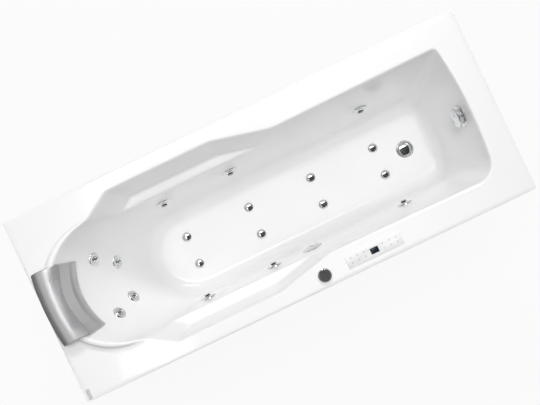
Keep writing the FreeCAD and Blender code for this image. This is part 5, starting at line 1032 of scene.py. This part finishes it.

# %% [markdown]
# ## Painted shade in the jets
#
# A jet's bore goes deep into its body, where no light reaches, so from above it is a black dot.  A short
# black plug of painted shade stands in the mouth of each, and turns with the insert or nozzle that it
# belongs to.  A wider one behind a nozzle's mouth is painted shade for the gap round it.

# %% Painted shade plugs in the mouths of the jets
def painted_shade_plug(name, body, end, way, radius, depth):
    """Short black cylinder of painted shade along a direction, which stops at its end point."""
    work = bmesh.new()
    add_rod(work, end - way * depth / 2, way, radius, depth, 24)
    # The black here is painted shade, standing in for the unlit depth of a bore.
    made = finished(name, mesh_of(work, name), "dark_plastic")
    smooth(made, ROUND_CREASE)
    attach(made, body)


def front_of(node, point, way):
    """Foremost point of a node on a line, given by a point and a direction."""
    return point + way * max((vertex.co - point).dot(way) for vertex in NODES[node].data.vertices)


for number in range(1, 5):
    body = f"back_rotor_{number}"
    point, way = joint_line(body + "_spin")
    front = front_of(f"back_jet_rotor_{number}", point, way)
    # Painted shade in the back jet's bore.
    painted_shade_plug(f"back_jet_painted_shade_{number}", body, front + way * 0.0004, way, radius=0.0042, depth=0.002)
for number in range(1, 7):
    body = f"nozzle_{number}"
    point = Vector(JOINTS[body + "_swivel"]["pos_m"])
    way = wall_direction(1 if point.y > 0 else -1, JET_DEPTH)
    front = front_of(f"jet_nozzle_{number}", point, way)
    # Painted shade in the nozzle's bore.
    painted_shade_plug(f"nozzle_painted_shade_{number}", body, front - way * 0.002, way, radius=0.0043, depth=0.004)
    # A wider black ring is painted shade for the gap round the nozzle.
    painted_shade_plug(f"nozzle_gap_painted_shade_{number}", body, front - way * 0.001, way, radius=0.0105, depth=0.0035)
    print("nozzle", number, "reaches", round((front - point).length, 4))

# %% Small blank plate on the deck
work = bmesh.new()
add_block(work, (-0.858, -0.3255, DECK + 0.0002), (0.014, 0.038, 0.0008))
plate = finished("deck_plate", mesh_of(work, "deck_plate"), "badge_metal")
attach(plate, "tub")
print("plate", [round(c, 4) for c in plate.dimensions])

# %% [markdown]
# ## Pillow
#
# The pillow is a foam block in a silver-grey skin, dipped over the head ridge.  Foam swells a little
# against its skin, so the CAD shape is remeshed, drawn in and then blown up by a short cloth simulation
# whose movement is capped, and one subdivision makes the skin even.

# %% Remeshed and drawn in
PILLOW_VOXEL = 0.0032
PILLOW_INSET = 0.0012
PILLOW_CAP = 0.0030
CLOTH_FRAMES = 20
pillow = finished("pillow_skin", NODES["pillow"].data.copy(), "pillow_skin")
welded(pillow)
remesh = pillow.modifiers.new("even", "REMESH")
remesh.mode = "VOXEL"
remesh.voxel_size = PILLOW_VOXEL
rounding = pillow.modifiers.new("rounding", "SMOOTH")
rounding.factor = 0.5
rounding.iterations = 5
drawn_in = pillow.modifiers.new("drawn_in", "DISPLACE")
drawn_in.strength = -PILLOW_INSET
drawn_in.mid_level = 0.0
apply_modifiers(pillow)
print("pillow skin", len(pillow.data.vertices), "points")

# %% Blown up by cloth
start_points = np.array([v.co[:] for v in pillow.data.vertices])
cloth = pillow.modifiers.new("foam", "CLOTH")
cloth.settings.use_pressure = True
cloth.settings.uniform_pressure_force = 4.0
cloth.settings.effector_weights.gravity = 0.0
cloth.settings.quality = 5
cloth.settings.mass = 0.3
cloth.point_cache.frame_start = 1
cloth.point_cache.frame_end = CLOTH_FRAMES
for number in range(1, CLOTH_FRAMES + 1):
    bpy.context.scene.frame_set(number)
apply_modifiers(pillow)
bpy.context.scene.frame_set(1)
end_points = np.array([v.co[:] for v in pillow.data.vertices])
moved = end_points - start_points
length = np.linalg.norm(moved, axis=1)
moved *= np.minimum(1, PILLOW_CAP / np.maximum(length, 1e-9))[:, None]
pillow.data.vertices.foreach_set("co", (start_points + moved).ravel())
print("foam moved up to", round(float(length.max()), 4))
finer = pillow.modifiers.new("even_skin", "SUBSURF")
finer.levels = 1
finer.render_levels = 1
apply_modifiers(pillow)
pillow.data.shade_smooth()
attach(pillow, "head_pillow")
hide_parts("pillow")
print("pillow", len(pillow.data.polygons), "faces")

# %% [markdown]
# ## Studio floor
#
# The floor is white paper.  What the camera and the reflections see of it is mostly plain white, mixed
# with a little of its lit surface so that the shadow of the tub stays on it.

# %% Floor
REACH = 12
PLAIN_SHARE = 0.92
material, tree, shader = finish_named("studio_floor", Roughness=0.8, Specular_IOR_Level=0.1)
tone = placed(tree, DRIFT, Colour=(0.60, 0.60, 0.60), Other=(0.58, 0.58, 0.58), Scale=0.7, Contrast=0.4)
tree.links.new(tone["Colour"], shader["Base Color"])
rays = add(tree, "ShaderNodeLightPath").outputs
watched = calculated(tree, "MAXIMUM", rays["Is Camera Ray"], rays["Is Glossy Ray"])
watched = calculated(tree, "MAXIMUM", watched, rays["Is Transmission Ray"])
glow = add(tree, "ShaderNodeEmission", {"Color": WHITE, "Strength": 1.0})
paper = add(tree, "ShaderNodeMixShader", {
    0: calculated(tree, "MULTIPLY", watched, PLAIN_SHARE),
    1: tree.nodes["Principled BSDF"].outputs[0], 2: glow.outputs[0]})
tree.links.new(paper.outputs[0], tree.nodes["Material Output"].inputs["Surface"])
FINISHES["studio_floor"] = material
paper_mesh = bpy.data.meshes.new("studio_floor")
paper_mesh.from_pydata(
    [(-REACH, -REACH, 0), (REACH, -REACH, 0), (REACH, REACH, 0), (-REACH, REACH, 0)], [], [(0, 1, 2, 3)])
floor = finished("studio_floor", paper_mesh, "studio_floor")
print("floor", tuple(round(c, 1) for c in floor.dimensions))
